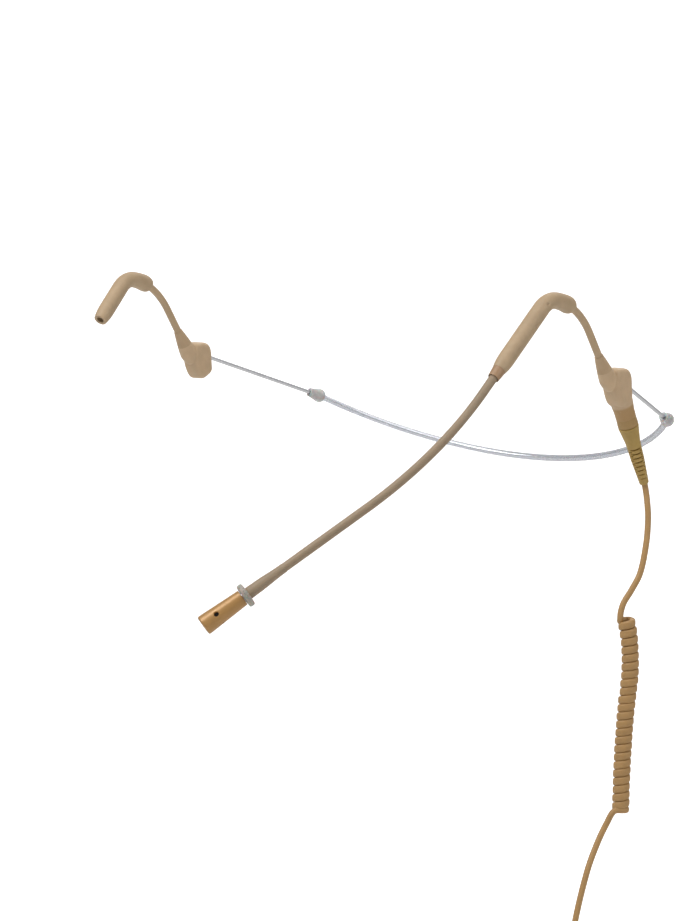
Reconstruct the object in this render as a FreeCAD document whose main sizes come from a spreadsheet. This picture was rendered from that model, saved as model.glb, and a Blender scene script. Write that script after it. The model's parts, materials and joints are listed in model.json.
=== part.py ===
"""Headset microphone: ear hook with a boom microphone, wire neckband and coiled lead. Millimetres.

Origin: midpoint between the wearer's ears. +X is the wearer's left (the microphone's side), -Y is forward
and +Z is up.
"""
import FreeCAD, Part
import math
import os
import Sketcher

Vector = FreeCAD.Vector
doc = FreeCAD.newDocument("headset_microphone")
sheet = doc.addObject("Spreadsheet::Sheet", "Sheet")

DIMENSIONS = [
    ("mouth_x", 76.0, "collar mouth, from the middle of the head"),
    ("mouth_y", -10.15, "collar mouth, forward is negative"),
    ("mouth_z", 14.8, "collar mouth, above the ear canals"),
    ("sleeve_pitch", 41.8, "slope of the sleeve over the ear, degrees"),
    ("sleeve_toe", 5.0, "sleeve turned in towards the temple, degrees"),
    ("hook_roll", 3.4, "lean of the hook's plane out of the vertical, degrees"),
    ("sleeve_radius", 2.45, "soft sleeve"),
    ("sleeve_start", 3.2, "length of collar left showing"),
    ("sleeve_straight", 27.3, "mouth to the start of the bend"),
    ("bend_radius", 8.0, "tight bend over the ear"),
    ("bend_angle", 50.0, "degrees"),
    ("ear_radius", 24.0, "wide bend behind the ear"),
    ("ear_angle", 47.0, "degrees"),
    ("sleeve_wrap", 18.0, "part of the wide bend that the sleeve covers, degrees"),
    ("hook_drop", 18.0, "straight run into the housing"),
    ("collar_mouth_radius", 1.62, "collar's thin end"),
    ("collar_radius", 1.9, "collar, and lining behind it"),
    ("collar_length", 5.0, "collar with the part inside the sleeve"),
    ("collar_bore", 1.34, "guides the boom"),
    ("seal_groove_radius", 1.58, "groove in the collar's bore"),
    ("seal_groove_start", 1.9, "groove in the collar's bore, from its mouth"),
    ("seal_groove_width", 0.9, "groove in the collar's bore"),
    ("lining_bore", 1.6, "guides the boom's ferrule"),
    ("lining_end", 26.5, "mouth to the lining's far end"),
    ("anchor_start", 24.3, "mouth to the anchor that holds the hook wire"),
    ("boom_radius", 1.25, "boom tube outside"),
    ("boom_bore", 0.8, "boom tube inside"),
    ("boom_tail", 19.5, "boom tube inside the sleeve"),
    ("boom_lead_in", 5.0, "straight boom tube in front of the mouth"),
    ("bow_radius", 92.8, "boom's curve round the cheek"),
    ("bow_angle", 29.8, "degrees"),
    ("bow_roll", 88.8, "plane of the boom's curve, from upright, degrees"),
    ("front_length", 39.7, "end of the curve to the moisture ring"),
    ("knuckle_gap", 0.05, "between the two boom halves"),
    ("ferrule_radius", 1.55, "slides in the lining"),
    ("ferrule_length", 7.4, "slides in the lining"),
    ("core_radius", 0.25, "bendable wire in the boom"),
    ("core_offset", -0.42, "bendable wire off the tube's axis"),
    ("lead_radius", 0.35, "screened lead to the capsule"),
    ("lead_offset", 0.38, "lead off the tube's axis"),
    ("tip_radius", 1.72, "boom's thick end"),
    ("tip_length", 12.0, "boom's thick end"),
    ("tip_nose", 1.85, "boom's thick end inside the moisture ring"),
    ("tip_socket", 4.2, "depth that holds the capsule sleeve"),
    ("capsule_radius", 1.5, "capsule sleeve outside"),
    ("capsule_bore", 1.3, "capsule sleeve inside"),
    ("capsule_reach", 7.2, "capsule sleeve in front of the boom's end"),
    ("ring_radius", 3.5, "moisture ring"),
    ("ring_width", 1.8, "moisture ring"),
    ("cap_start", 2.0, "boom's end to the cap"),
    ("cap_length", 13.2, "cap"),
    ("cap_base_radius", 2.3, "cap, at the boom"),
    ("cap_tip_radius", 2.85, "cap, at the mouth"),
    ("cap_edge", 0.45, "rounding of the cap's tip"),
    ("cap_chamber_radius", 1.95, "air space in the cap"),
    ("cap_wall", 1.2, "end wall of the cap"),
    ("port_radius", 0.7, "sound ports"),
    ("port_turn", -42.0, "ports turned round the cap, degrees"),
    ("port_setback", 4.7, "sound ports to the cap's tip"),
    ("hook_tube_radius", 1.1, "thin tube behind the ear"),
    ("hook_tube_bore", 0.95, "thin tube behind the ear"),
    ("hook_wire_radius", 0.45, "spring wire in the hook"),
    ("hook_wire_offset", 0.42, "spring wire off the tube's axis"),
    ("hook_lead_offset", -0.5, "lead off the tube's axis"),
    ("gland_length", 9.5, "cone where the tube meets the housing"),
    ("gland_tip_radius", 1.3, "cone, thin end"),
    ("gland_base_radius", 2.7, "cone, at the housing"),
    ("housing_x", 78.5, "housing centre"),
    ("housing_y", 47.5, "housing centre"),
    ("housing_z", 8.0, "housing centre"),
    ("housing_width", 6.0, "housing, through from the head outwards"),
    ("housing_edge", 1.3, "rounding of the housing"),
    ("plug_tilt", 26.1, "plug axis from the vertical, degrees"),
    ("plug_drop", 12.25, "housing centre to the joint between socket and boot"),
    ("neck_radius", 2.85, "housing's neck"),
    ("neck_bore", 2.42, "housing's neck"),
    ("socket_radius", 3.05, "socket's collar"),
    ("socket_collar", 3.1, "socket's collar, length"),
    ("socket_bore", 1.9, "takes the plug"),
    ("socket_depth", 9.0, "socket, full length"),
    ("plug_radius", 1.85, "plug's nose"),
    ("plug_bore", 1.5, "plug's shell inside"),
    ("plug_reach", 3.8, "plug's nose in the socket"),
    ("pin_radius", 0.22, "plug pins"),
    ("pin_circle", 0.95, "plug pins from the plug's axis"),
    ("boot_length", 19.4, "strain relief of the plug"),
    ("cable_radius", 0.9, "lead outside the headset"),
    ("coil_x", 80.0, "coil axis"),
    ("coil_y", 50.3, "coil axis"),
    ("coil_top", -59.5, "first turn"),
    ("coil_turns", 24.0, "turns"),
    ("coil_pitch", 2.3, "turn to turn"),
    ("coil_radius", 1.45, "coil axis to the middle of the cable"),
    ("connector_x", 70.0, "body-pack connector"),
    ("connector_y", 26.0, "body-pack connector"),
    ("connector_z", -226.0, "top of the connector's strain relief"),
    ("shell_radius", 5.0, "connector shell"),
    ("nose_radius", 3.95, "connector's nose, which plugs in"),
    ("nose_length", 9.5, "connector's nose, which plugs in"),
    ("bead_x", 66.0, "neckband bead"),
    ("bead_y", 92.1, "neckband bead"),
    ("bead_z", -5.0, "neckband bead"),
    ("bead_radius", 2.1, "neckband bead"),
    ("snout_length", 4.0, "bead centre to the end of its snout"),
    ("band_sag", 31.2, "beads to the back of the band, in the band's plane"),
    ("band_slope", 33.6, "band's plane falls towards the back, degrees"),
    ("band_sleeve_radius", 1.0, "clear sleeve over the band wire"),
    ("band_sleeve_bore", 0.62, "clear sleeve over the band wire"),
    ("wire_radius", 0.6, "spring wire of the band and its ends"),
    ("wire_exit_x", -0.83, "where the wire leaves the housing, from its centre"),
    ("wire_exit_y", 3.8, "where the wire leaves the housing, from its centre"),
    ("wire_exit_z", 1.3, "where the wire leaves the housing, from its centre"),
    ("wire_tail", 7.0, "wire inside the housing"),
    ("running_gap", 0.05, "radial clearance of parts that slide or turn"),
    ("seat_gap", 0.02, "radial clearance of parts that are glued or crimped"),
]


# ---------------------------------------------------------------- sizes
class Size:
    """A number together with the spreadsheet expression that gives it."""

    def __init__(self, number, text):
        self.number = float(number)
        self.text = text

    def __add__(self, other):
        other = as_size(other)
        return Size(self.number + other.number, "(%s + %s)" % (self.text, other.text))

    def __sub__(self, other):
        other = as_size(other)
        return Size(self.number - other.number, "(%s - %s)" % (self.text, other.text))

    def __mul__(self, other):
        other = as_size(other)
        return Size(self.number * other.number, "(%s * %s)" % (self.text, other.text))

    def __float__(self):
        return self.number


def as_size(value):
    return value if isinstance(value, Size) else Size(value, "(%.6f)" % value)


def fill_sheet():
    for row, (alias, number, note) in enumerate(DIMENSIONS, start=1):
        sheet.set("A%d" % row, note)
        sheet.set("B%d" % row, "%g" % number)
        sheet.setAlias("B%d" % row, alias)
    doc.recompute()


def size(alias):
    return Size(sheet.get(alias), "Sheet." + alias)


def number(alias):
    return float(sheet.get(alias))


def bind(item, **sizes):
    for name, value in sizes.items():
        item.setExpression(name, as_size(value).text)


# ---------------------------------------------------------------- frames
def from_axes(origin, x_axis, z_axis):
    """Placement at origin whose local X and Z lie along two perpendicular directions."""
    y_axis = z_axis.cross(x_axis)
    return FreeCAD.Placement(origin, FreeCAD.Rotation(x_axis, y_axis, z_axis, "ZXY"))


def along(frame, distance):
    """The same frame moved along its own Z."""
    return frame.multiply(FreeCAD.Placement(Vector(0, 0, float(distance)), FreeCAD.Rotation()))


def unit(vector):
    return vector.multiply(1.0 / vector.Length)


def sleeve_axes():
    """Direction of the sleeve, back and up, and the upward direction in the hook's plane."""
    toe = math.radians(number("sleeve_toe"))
    pitch = math.radians(number("sleeve_pitch"))
    back = Vector(math.sin(toe) * math.cos(pitch), math.cos(toe) * math.cos(pitch), math.sin(pitch))
    upright = unit(Vector(0, 0, 1) - back * back.z)
    outward = back.cross(upright)
    return back, upright, outward


def mouth():
    return Vector(number("mouth_x"), number("mouth_y"), number("mouth_z"))


def sleeve_frame():
    """Origin in the collar's mouth, Z along the sleeve."""
    back, upright, outward = sleeve_axes()
    return from_axes(mouth(), upright, back)


def hook_frame():
    """Origin in the collar's mouth, X along the sleeve, Y up in the hook's plane."""
    back, upright, outward = sleeve_axes()
    roll = math.radians(number("hook_roll"))
    up_in_plane = upright * math.cos(roll) + outward * math.sin(roll)
    return from_axes(mouth(), back, back.cross(up_in_plane))


def boom_frame():
    """Origin at the boom tube's tail, X forward along it, Y towards the centre of its curve."""
    back, upright, outward = sleeve_axes()
    roll = math.radians(number("bow_roll"))
    inward = upright * math.cos(roll) - outward * math.sin(roll)
    forward = back * -1.0
    return from_axes(mouth() + back * number("boom_tail"), forward, forward.cross(inward))


def knuckle_frame():
    """Origin where the boom's curve ends, Z forward along its straight front, X towards the cheek."""
    frame = boom_frame()
    turn = math.radians(number("bow_angle"))
    radius = number("bow_radius")
    start = number("boom_tail") + number("boom_lead_in")
    end = Vector(start + radius * math.sin(turn), radius * (1 - math.cos(turn)), 0)
    forward = frame.Rotation.multVec(Vector(math.cos(turn), math.sin(turn), 0))
    inward = frame.Rotation.multVec(Vector(-math.sin(turn), math.cos(turn), 0))
    return from_axes(frame.multVec(end), inward, forward)


def capsule_frame():
    """Origin at the boom's end, Z forward."""
    return along(knuckle_frame(), size("front_length"))


def hook_end_frame():
    """Origin at the thin tube's end in the housing, Z back up along the tube."""
    frame = hook_frame()
    bend = math.radians(number("bend_angle"))
    total = bend + math.radians(number("ear_angle"))
    x = number("sleeve_straight") + number("bend_radius") * math.sin(bend)
    x += number("ear_radius") * (math.sin(total) - math.sin(bend)) + number("hook_drop") * math.cos(total)
    y = -number("bend_radius") * (1 - math.cos(bend))
    y -= number("ear_radius") * (math.cos(bend) - math.cos(total)) + number("hook_drop") * math.sin(total)
    up_tube = frame.Rotation.multVec(Vector(-math.cos(total), math.sin(total), 0))
    across = frame.Rotation.multVec(Vector(math.sin(total), math.cos(total), 0))
    return from_axes(frame.multVec(Vector(x, y, 0)), across, up_tube)


def housing_frame():
    centre = Vector(number("housing_x"), number("housing_y"), number("housing_z"))
    return FreeCAD.Placement(centre, FreeCAD.Rotation())


def plug_frame():
    """Origin at the joint between socket and boot, Z up into the housing, X outwards."""
    tilt = math.radians(number("plug_tilt"))
    up = Vector(0, -math.sin(tilt), math.cos(tilt))
    centre = Vector(number("housing_x"), number("housing_y"), number("housing_z"))
    return from_axes(centre - up * number("plug_drop"), Vector(1, 0, 0), up)


def bead_centre():
    return Vector(number("bead_x"), number("bead_y"), number("bead_z"))


def wire_exit():
    offset = Vector(number("wire_exit_x"), number("wire_exit_y"), number("wire_exit_z"))
    return housing_frame().multVec(offset)


def stub_frame():
    """Origin in the left bead, Z along the wire towards the housing."""
    towards = unit(wire_exit() - bead_centre())
    across = unit(Vector(0, 0, 1).cross(towards))
    return from_axes(bead_centre(), across, towards)


def stub_length():
    return (wire_exit() - bead_centre()).Length


def band_radius():
    reach = number("bead_x")
    sag = number("band_sag")
    return (reach * reach + sag * sag) / (2 * sag)


def band_half_angle():
    return math.degrees(math.asin(number("bead_x") / band_radius()))


def band_frame(inset):
    """Origin at the band's centre, X towards its left end less the inset angle, Z square to its plane."""
    slope = math.radians(number("band_slope"))
    back = Vector(0, math.cos(slope), -math.sin(slope))
    centre = Vector(0, number("bead_y"), number("bead_z")) + back * (number("band_sag") - band_radius())
    start = math.radians(band_half_angle() - inset)
    x_axis = Vector(1, 0, 0) * math.sin(start) + back * math.cos(start)
    return from_axes(centre, x_axis, Vector(1, 0, 0).cross(back))


# ---------------------------------------------------------------- ways of making a piece
def closed_sketch(body, label, plane_role, outline):
    """Sketch of straight lines whose corners are held by the sheet. Corners lie at or above both axes."""
    sketch = body.newObject("Sketcher::SketchObject", label)
    plane = [feature for feature in body.Origin.OriginFeatures if feature.Role == plane_role][0]
    sketch.AttachmentSupport = [(plane, "")]
    sketch.MapMode = "FlatFace"
    corners = [(as_size(x), as_size(y)) for x, y in outline]
    points = [Vector(x.number, y.number, 0) for x, y in corners]
    count = len(points)
    for index in range(count):
        sketch.addGeometry(Part.LineSegment(points[index], points[(index + 1) % count]), False)
    for index in range(count):
        sketch.addConstraint(Sketcher.Constraint("Coincident", index, 2, (index + 1) % count, 1))
    for index, (x, y) in enumerate(corners):
        hold_point(sketch, index, "DistanceX", x, -2)
        hold_point(sketch, index, "DistanceY", y, -1)
    return sketch


def hold_point(sketch, index, direction, value, axis):
    """Fix one coordinate of a line's first point, on the axis itself where the coordinate is zero."""
    if abs(value.number) < 1e-9:
        sketch.addConstraint(Sketcher.Constraint("PointOnObject", index, 1, axis))
        return
    constraint = sketch.addConstraint(Sketcher.Constraint(direction, -1, 1, index, 1, value.number))
    sketch.setExpression("Constraints[%d]" % constraint, value.text)


def turned(label, outline, frame):
    """Body turned from an outline of (radius, height) corners about its own Z."""
    body = doc.addObject("PartDesign::Body", label)
    sketch = closed_sketch(body, label + "_profile", "XZ_Plane", outline)
    turn = body.newObject("PartDesign::Revolution", label + "_turn")
    turn.Profile = sketch
    turn.ReferenceAxis = (sketch, ["V_Axis"])
    turn.Angle = 360.0
    sketch.Visibility = False
    doc.recompute()
    body.Placement = frame
    return body


def ring(label, outer, inner, length, frame):
    outline = [(inner, 0), (outer, 0), (outer, length), (inner, length)]
    return turned(label, outline, frame)


def cylinder(label, radius, length, frame):
    item = doc.addObject("Part::Cylinder", label)
    bind(item, Radius=radius, Height=length)
    item.Placement = frame
    return item


def box(label, low, high, frame):
    """Box between two local corners."""
    item = doc.addObject("Part::Box", label)
    spans = [as_size(top) - as_size(bottom) for bottom, top in zip(low, high)]
    bind(item, Length=spans[0], Width=spans[1], Height=spans[2])
    corner = FreeCAD.Placement(Vector(*[float(value) for value in low]), FreeCAD.Rotation())
    item.Placement = frame.multiply(corner)
    return item


def sphere(label, radius, centre):
    item = doc.addObject("Part::Sphere", label)
    bind(item, Radius=radius)
    item.Placement = FreeCAD.Placement(centre, FreeCAD.Rotation())
    return item


def cut(label, base, *tools):
    """Base less every tool."""
    item = base
    for count, tool in enumerate(tools, start=1):
        last = count == len(tools)
        less = doc.addObject("Part::Cut", label if last else "%s_cut_%d" % (label, count))
        less.Base = item
        less.Tool = tool
        item = less
    return item


def fuse(label, *shapes):
    item = doc.addObject("Part::MultiFuse", label)
    item.Shapes = list(shapes)
    return item


def group(label, solids):
    """Separate solids that share one name."""
    item = doc.addObject("Part::Compound", label)
    item.Links = solids
    return item


def mirrored(label, source):
    """The same piece on the other side of the head."""
    item = doc.addObject("Part::Mirroring", label)
    item.Source = source
    item.Base = Vector(0, 0, 0)
    item.Normal = Vector(1, 0, 0)
    return item


def path(label, frame, steps, shift=0.0):
    """Sketched path that starts along local X. A step is (length,) or (radius, angle), and a
    positive angle turns left. The shift moves the whole path sideways, so arcs keep their centres."""
    sketch = doc.addObject("Sketcher::SketchObject", label)
    sideways = as_size(shift)
    point = Vector(0, 0, 0)
    heading = 0.0
    for index, step in enumerate(steps):
        if len(step) == 1:
            length = as_size(step[0])
            ahead = Vector(math.cos(heading), math.sin(heading), 0)
            following = point + ahead * length.number
            sketch.addGeometry(Part.LineSegment(point, following), False)
            rule = sketch.addConstraint(Sketcher.Constraint("Distance", index, length.number))
            sketch.setExpression("Constraints[%d]" % rule, length.text)
            end = 2
        else:
            side = 1.0 if float(step[1]) > 0 else -1.0
            radius = as_size(step[0]) - sideways * side
            angle = as_size(step[1]) * side
            turn = math.radians(angle.number) * side
            centre = point + Vector(-math.sin(heading), math.cos(heading), 0) * (radius.number * side)
            start = heading - side * math.pi / 2
            low, high = (start, start + turn) if side > 0 else (start + turn, start)
            circle = Part.Circle(centre, Vector(0, 0, 1), radius.number)
            sketch.addGeometry(Part.ArcOfCircle(circle, low, high), False)
            rule = sketch.addConstraint(Sketcher.Constraint("Radius", index, radius.number))
            sketch.setExpression("Constraints[%d]" % rule, radius.text)
            rule = sketch.addConstraint(Sketcher.Constraint("Angle", index, math.radians(angle.number)))
            sketch.setExpression("Constraints[%d]" % rule, angle.text + " * 1 deg")
            heading += turn
            following = centre + Vector(math.sin(heading), -math.cos(heading), 0) * (radius.number * side)
            end = 2 if side > 0 else 1
        begin = 3 - end if len(step) > 1 else 1
        if index == 0:
            sketch.addConstraint(Sketcher.Constraint("Coincident", 0, begin, -1, 1))
            sketch.addConstraint(Sketcher.Constraint("Horizontal", 0))
        else:
            sketch.addConstraint(Sketcher.Constraint("Tangent", index - 1, last_end, index, begin))
        point = following
        last_end = end
    sketch.Placement = frame.multiply(FreeCAD.Placement(Vector(0, sideways.number, 0), FreeCAD.Rotation()))
    doc.recompute()
    return sketch


def rod(label, radius, spine):
    """Round rod along a path. The section stands at the path's start, square to it."""
    section = doc.addObject("Part::Circle", label + "_section")
    bind(section, Radius=radius)
    first = spine.Shape.Edges[0]
    heading = first.tangentAt(first.FirstParameter)
    section.Placement = FreeCAD.Placement(first.valueAt(first.FirstParameter),
                                          FreeCAD.Rotation(Vector(0, 0, 1), heading))
    sweep = doc.addObject("Part::Sweep", label)
    sweep.Sections = [section]
    sweep.Spine = (spine, ["Edge%d" % (index + 1) for index in range(len(spine.Shape.Edges))])
    sweep.Solid = True
    sweep.Frenet = False
    return sweep


def pipe(label, outer, inner, spine):
    return cut(label, rod(label + "_outside", outer, spine), rod(label + "_inside", inner, spine))


def spatial_path(label, points, first, last, straight_start=None, straight_end=None):
    """Smooth path: a Bezier curve from each point to the next, with straight runs outside them."""
    headings = [unit(after - before) for before, after in zip(points, points[2:])]
    headings = [unit(first)] + headings + [unit(last)]
    edges = []
    for index, (start, end) in enumerate(zip(points, points[1:])):
        reach = (end - start).Length / 3
        curve = Part.BezierCurve()
        curve.setPoles([start, start + headings[index] * reach, end - headings[index + 1] * reach, end])
        edges.append(curve.toShape())
    if straight_start is not None:
        edges.insert(0, Part.LineSegment(straight_start, points[0]).toShape())
    if straight_end is not None:
        edges.append(Part.LineSegment(points[-1], straight_end).toShape())
    item = doc.addObject("Part::Feature", label)
    item.Shape = Part.Wire(edges)
    doc.recompute()
    return item


# ---------------------------------------------------------------- boom and capsule
def boom_steps_rear():
    straight = size("boom_tail") + size("boom_lead_in")
    return [(straight,), (size("bow_radius"), size("bow_angle"))]


def make_boom_rear():
    spine = path("boom_path", boom_frame(), boom_steps_rear())
    outside = rod("boom_rear_outside", size("boom_radius"), spine)
    knuckle = sphere("boom_knuckle", size("boom_radius"), knuckle_frame().Base)
    bore = rod("boom_rear_bore", size("boom_bore"), spine)
    opening = cylinder("boom_knuckle_bore", size("boom_bore"), size("boom_radius") * 2, knuckle_frame())
    tube = cut("boom_tube_rear", fuse("boom_rear_solid", outside, knuckle), bore, opening)
    core_path = path("boom_core_path", boom_frame(), boom_steps_rear(), size("core_offset"))
    lead_path = path("boom_lead_path", boom_frame(), boom_steps_rear(), size("lead_offset"))
    core = rod("boom_core_rear", size("core_radius"), core_path)
    lead = rod("boom_lead_rear", size("lead_radius"), lead_path)
    ferrule_start = size("boom_tail") - size("ferrule_length") - 0.1
    inner = size("boom_radius") + 0.03
    ferrule = ring("boom_ferrule", size("ferrule_radius"), inner, size("ferrule_length"),
                   along(sleeve_frame(), ferrule_start))
    return [tube, core, lead, ferrule]


def sideways(frame, offset):
    return frame.multiply(FreeCAD.Placement(Vector(float(offset), 0, 0), FreeCAD.Rotation()))


def make_boom_front():
    frame = knuckle_frame()
    tube_end = size("front_length") - size("tip_socket") - 0.1
    outside = cylinder("boom_front_outside", size("boom_radius"), tube_end, frame)
    socket = sphere("boom_knuckle_socket", size("boom_radius") + size("knuckle_gap"), frame.Base)
    bore = cylinder("boom_front_bore", size("boom_bore"), tube_end, frame)
    tube = cut("boom_tube_front", outside, socket, bore)
    wires_start = 1.35
    core = cylinder("boom_core_front", size("core_radius"), tube_end - wires_start,
                    sideways(along(frame, wires_start), size("core_offset")))
    lead = cylinder("boom_lead_front", size("lead_radius"), size("front_length") + 3.0 - wires_start,
                    sideways(along(frame, wires_start), size("lead_offset")))
    grip = size("boom_radius") + size("seat_gap")
    seat = size("capsule_radius") + size("seat_gap")
    step = size("tip_length") - size("tip_socket")
    tip = turned("boom_tip", [
        (grip, 0),
        (size("boom_radius") + 0.12, 0),
        (size("tip_radius"), size("tip_length") - 1.0),
        (size("tip_radius"), size("tip_length") + size("tip_nose")),
        (seat, size("tip_length") + size("tip_nose")),
        (seat, step),
        (grip, step),
    ], along(frame, size("front_length") - size("tip_length")))
    return [tube, core, lead, tip]


def make_capsule():
    frame = capsule_frame()
    sleeve_length = size("capsule_reach") + 3.9
    sleeve = ring("capsule_sleeve", size("capsule_radius"), size("capsule_bore"), sleeve_length,
                  along(frame, -3.9))
    can_radius = size("capsule_bore") - 0.03
    can_length = 3.9
    can = turned("capsule_can", [
        (can_radius - 0.12, 0),
        (can_radius, 0),
        (can_radius, can_length),
        (0.4, can_length),
        (0.4, can_length - 0.15),
        (can_radius - 0.12, can_length - 0.15),
    ], along(frame, 3.2))
    film_radius = can_radius - 0.15
    film = turned("diaphragm", [
        (0, 0.2),
        (film_radius - 0.17, 0.2),
        (film_radius - 0.17, 0),
        (film_radius, 0),
        (film_radius, 0.25),
        (0, 0.25),
    ], along(frame, 6.6))
    plate = cylinder("backplate", film_radius - 0.02, 0.35, along(frame, 6.1))
    board = cylinder("capsule_board", film_radius, 0.4, along(frame, 4.6))
    return [sleeve, can, film, plate, board]


def make_moisture_ring():
    inner = size("tip_radius") + size("running_gap")
    outer = size("ring_radius")
    width = size("ring_width")
    edge = 0.35
    return [turned("moisture_ring", [
        (inner, 0),
        (outer - edge, 0),
        (outer, edge),
        (outer, width - edge),
        (outer - edge, width),
        (inner, width),
    ], along(capsule_frame(), 0.05))]


def turned_by(degrees):
    return FreeCAD.Placement(Vector(0, 0, 0), FreeCAD.Rotation(Vector(0, 0, 1), degrees))


def make_cap():
    """Cone over the capsule. Two holes straight through it make the four sound ports."""
    frame = along(capsule_frame(), size("cap_start"))
    bore = size("capsule_radius") + size("running_gap")
    length = size("cap_length")
    mouth_depth = length - size("cap_wall") - 5.6
    body = doc.addObject("PartDesign::Body", "capsule_cap")
    profile = closed_sketch(body, "cap_profile", "XZ_Plane", [
        (bore, 0),
        (size("cap_base_radius"), 0),
        (size("cap_tip_radius"), length - size("cap_edge") * 2),
        (size("cap_tip_radius"), length - size("cap_edge")),
        (size("cap_tip_radius") - size("cap_edge"), length),
        (0, length),
        (0, length - size("cap_wall")),
        (size("cap_chamber_radius"), length - size("cap_wall")),
        (size("cap_chamber_radius"), mouth_depth),
        (bore, mouth_depth),
    ])
    turn = body.newObject("PartDesign::Revolution", "cap_turn")
    turn.Profile = profile
    turn.ReferenceAxis = (profile, ["V_Axis"])
    turn.Angle = 360.0
    doc.recompute()
    solid_volume = body.Shape.Volume
    ports = body.newObject("Sketcher::SketchObject", "cap_port_circle")
    plane = [feature for feature in body.Origin.OriginFeatures if feature.Role == "XZ_Plane"][0]
    ports.AttachmentSupport = [(plane, "")]
    ports.MapMode = "FlatFace"
    height = length - size("port_setback")
    circle = Part.Circle(Vector(0, height.number, 0), Vector(0, 0, 1), number("port_radius"))
    ports.addGeometry(circle, False)
    ports.addConstraint(Sketcher.Constraint("PointOnObject", 0, 3, -2))
    rule = ports.addConstraint(Sketcher.Constraint("DistanceY", -1, 1, 0, 3, height.number))
    ports.setExpression("Constraints[%d]" % rule, height.text)
    rule = ports.addConstraint(Sketcher.Constraint("Radius", 0, number("port_radius")))
    ports.setExpression("Constraints[%d]" % rule, "Sheet.port_radius")
    pocket = body.newObject("PartDesign::Pocket", "cap_ports")
    pocket.Profile = ports
    pocket.SideType = "Symmetric"
    bind(pocket, Length=size("cap_tip_radius") * 2 + 1)
    doc.recompute()
    pattern = body.newObject("PartDesign::PolarPattern", "cap_ports_round")
    pattern.Originals = [pocket]
    pattern.Axis = (profile, ["V_Axis"])
    pattern.Angle = 90.0
    pattern.Occurrences = 2
    body.Tip = pattern
    doc.recompute()
    if body.Shape.Volume > solid_volume - 1.0:
        raise RuntimeError("the sound ports cut nothing")
    body.Placement = frame.multiply(turned_by(number("port_turn")))
    mesh_outer = size("cap_chamber_radius") - size("seat_gap")
    mesh = ring("cap_mesh", mesh_outer, mesh_outer - 0.15, 5.4, along(frame, mouth_depth + 0.1))
    return [body, mesh]


# ---------------------------------------------------------------- ear hook
def make_collar():
    frame = sleeve_frame()
    outer = size("collar_radius")
    length = size("collar_length")
    groove = size("seal_groove_radius")
    groove_start = size("seal_groove_start")
    groove_end = groove_start + size("seal_groove_width")
    collar = turned("hook_collar", [
        (size("collar_bore"), 0),
        (size("collar_mouth_radius"), 0),
        (outer, size("sleeve_start")),
        (outer, length),
        (size("collar_bore"), length),
        (size("collar_bore"), groove_end),
        (groove, groove_end),
        (groove, groove_start),
        (size("collar_bore"), groove_start),
    ], frame)
    seal = ring("collar_seal", groove - size("seat_gap"), size("boom_radius") + size("running_gap"),
                size("seal_groove_width") - 0.06, along(frame, groove_start + 0.03))
    lining_start = length + size("seat_gap")
    lining = ring("hook_lining", outer, size("lining_bore"), size("lining_end") - lining_start,
                  along(frame, lining_start))
    return [collar, seal, lining]


def hook_steps(start, drop):
    """Hook path from a point on the sleeve's straight part, with a chosen straight end."""
    return [
        (size("sleeve_straight") - start,),
        (size("bend_radius"), size("bend_angle") * -1),
        (size("ear_radius"), size("ear_angle") * -1),
        (drop,),
    ]


def shifted_hook(start):
    return hook_frame().multiply(FreeCAD.Placement(Vector(float(start), 0, 0), FreeCAD.Rotation()))


def make_hook():
    sleeve_steps = [
        (size("sleeve_straight") - size("sleeve_start"),),
        (size("bend_radius"), size("bend_angle") * -1),
        (size("ear_radius"), size("sleeve_wrap") * -1),
    ]
    sleeve_path = path("sleeve_path", shifted_hook(size("sleeve_start")), sleeve_steps)
    sleeve = pipe("hook_sleeve", size("sleeve_radius"), size("collar_radius") + size("seat_gap"), sleeve_path)
    tube_start = size("lining_end") + 0.1
    tube_path = path("tube_path", shifted_hook(tube_start), hook_steps(tube_start, size("hook_drop")))
    tube = pipe("hook_tube", size("hook_tube_radius"), size("hook_tube_bore"), tube_path)
    wire_start = size("anchor_start") + 0.1
    inside = size("hook_drop") + 2.4
    wire_steps = hook_steps(wire_start, inside)
    wire_path = path("hook_wire_path", shifted_hook(wire_start), wire_steps, size("hook_wire_offset"))
    wire = rod("hook_wire", size("hook_wire_radius"), wire_path)
    lead_path = path("hook_lead_path", shifted_hook(wire_start), wire_steps, size("hook_lead_offset"))
    lead = rod("hook_lead", size("lead_radius"), lead_path)
    return [sleeve, tube, wire, lead]


def make_anchor():
    """Plug in the lining's end that grips the hook wire and lets the lead through."""
    frame = hook_frame()
    turn = FreeCAD.Placement(Vector(), FreeCAD.Rotation(Vector(0, 1, 0), 90))

    def drill(label, radius, offset):
        place = frame.multiply(FreeCAD.Placement(Vector(number("anchor_start") - 1, float(offset), 0),
                                                 FreeCAD.Rotation()))
        return cylinder(label, radius, 4, place.multiply(turn))

    blank = cylinder("anchor_blank", size("lining_bore") - size("seat_gap"), 2.0,
                     along(sleeve_frame(), size("anchor_start")))
    wire_hole = drill("anchor_wire_hole", size("hook_wire_radius") + 0.01, size("hook_wire_offset"))
    lead_hole = drill("anchor_lead_hole", size("lead_radius") + 0.01, size("hook_lead_offset"))
    return [cut("hook_anchor", blank, wire_hole, lead_hole)]


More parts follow.
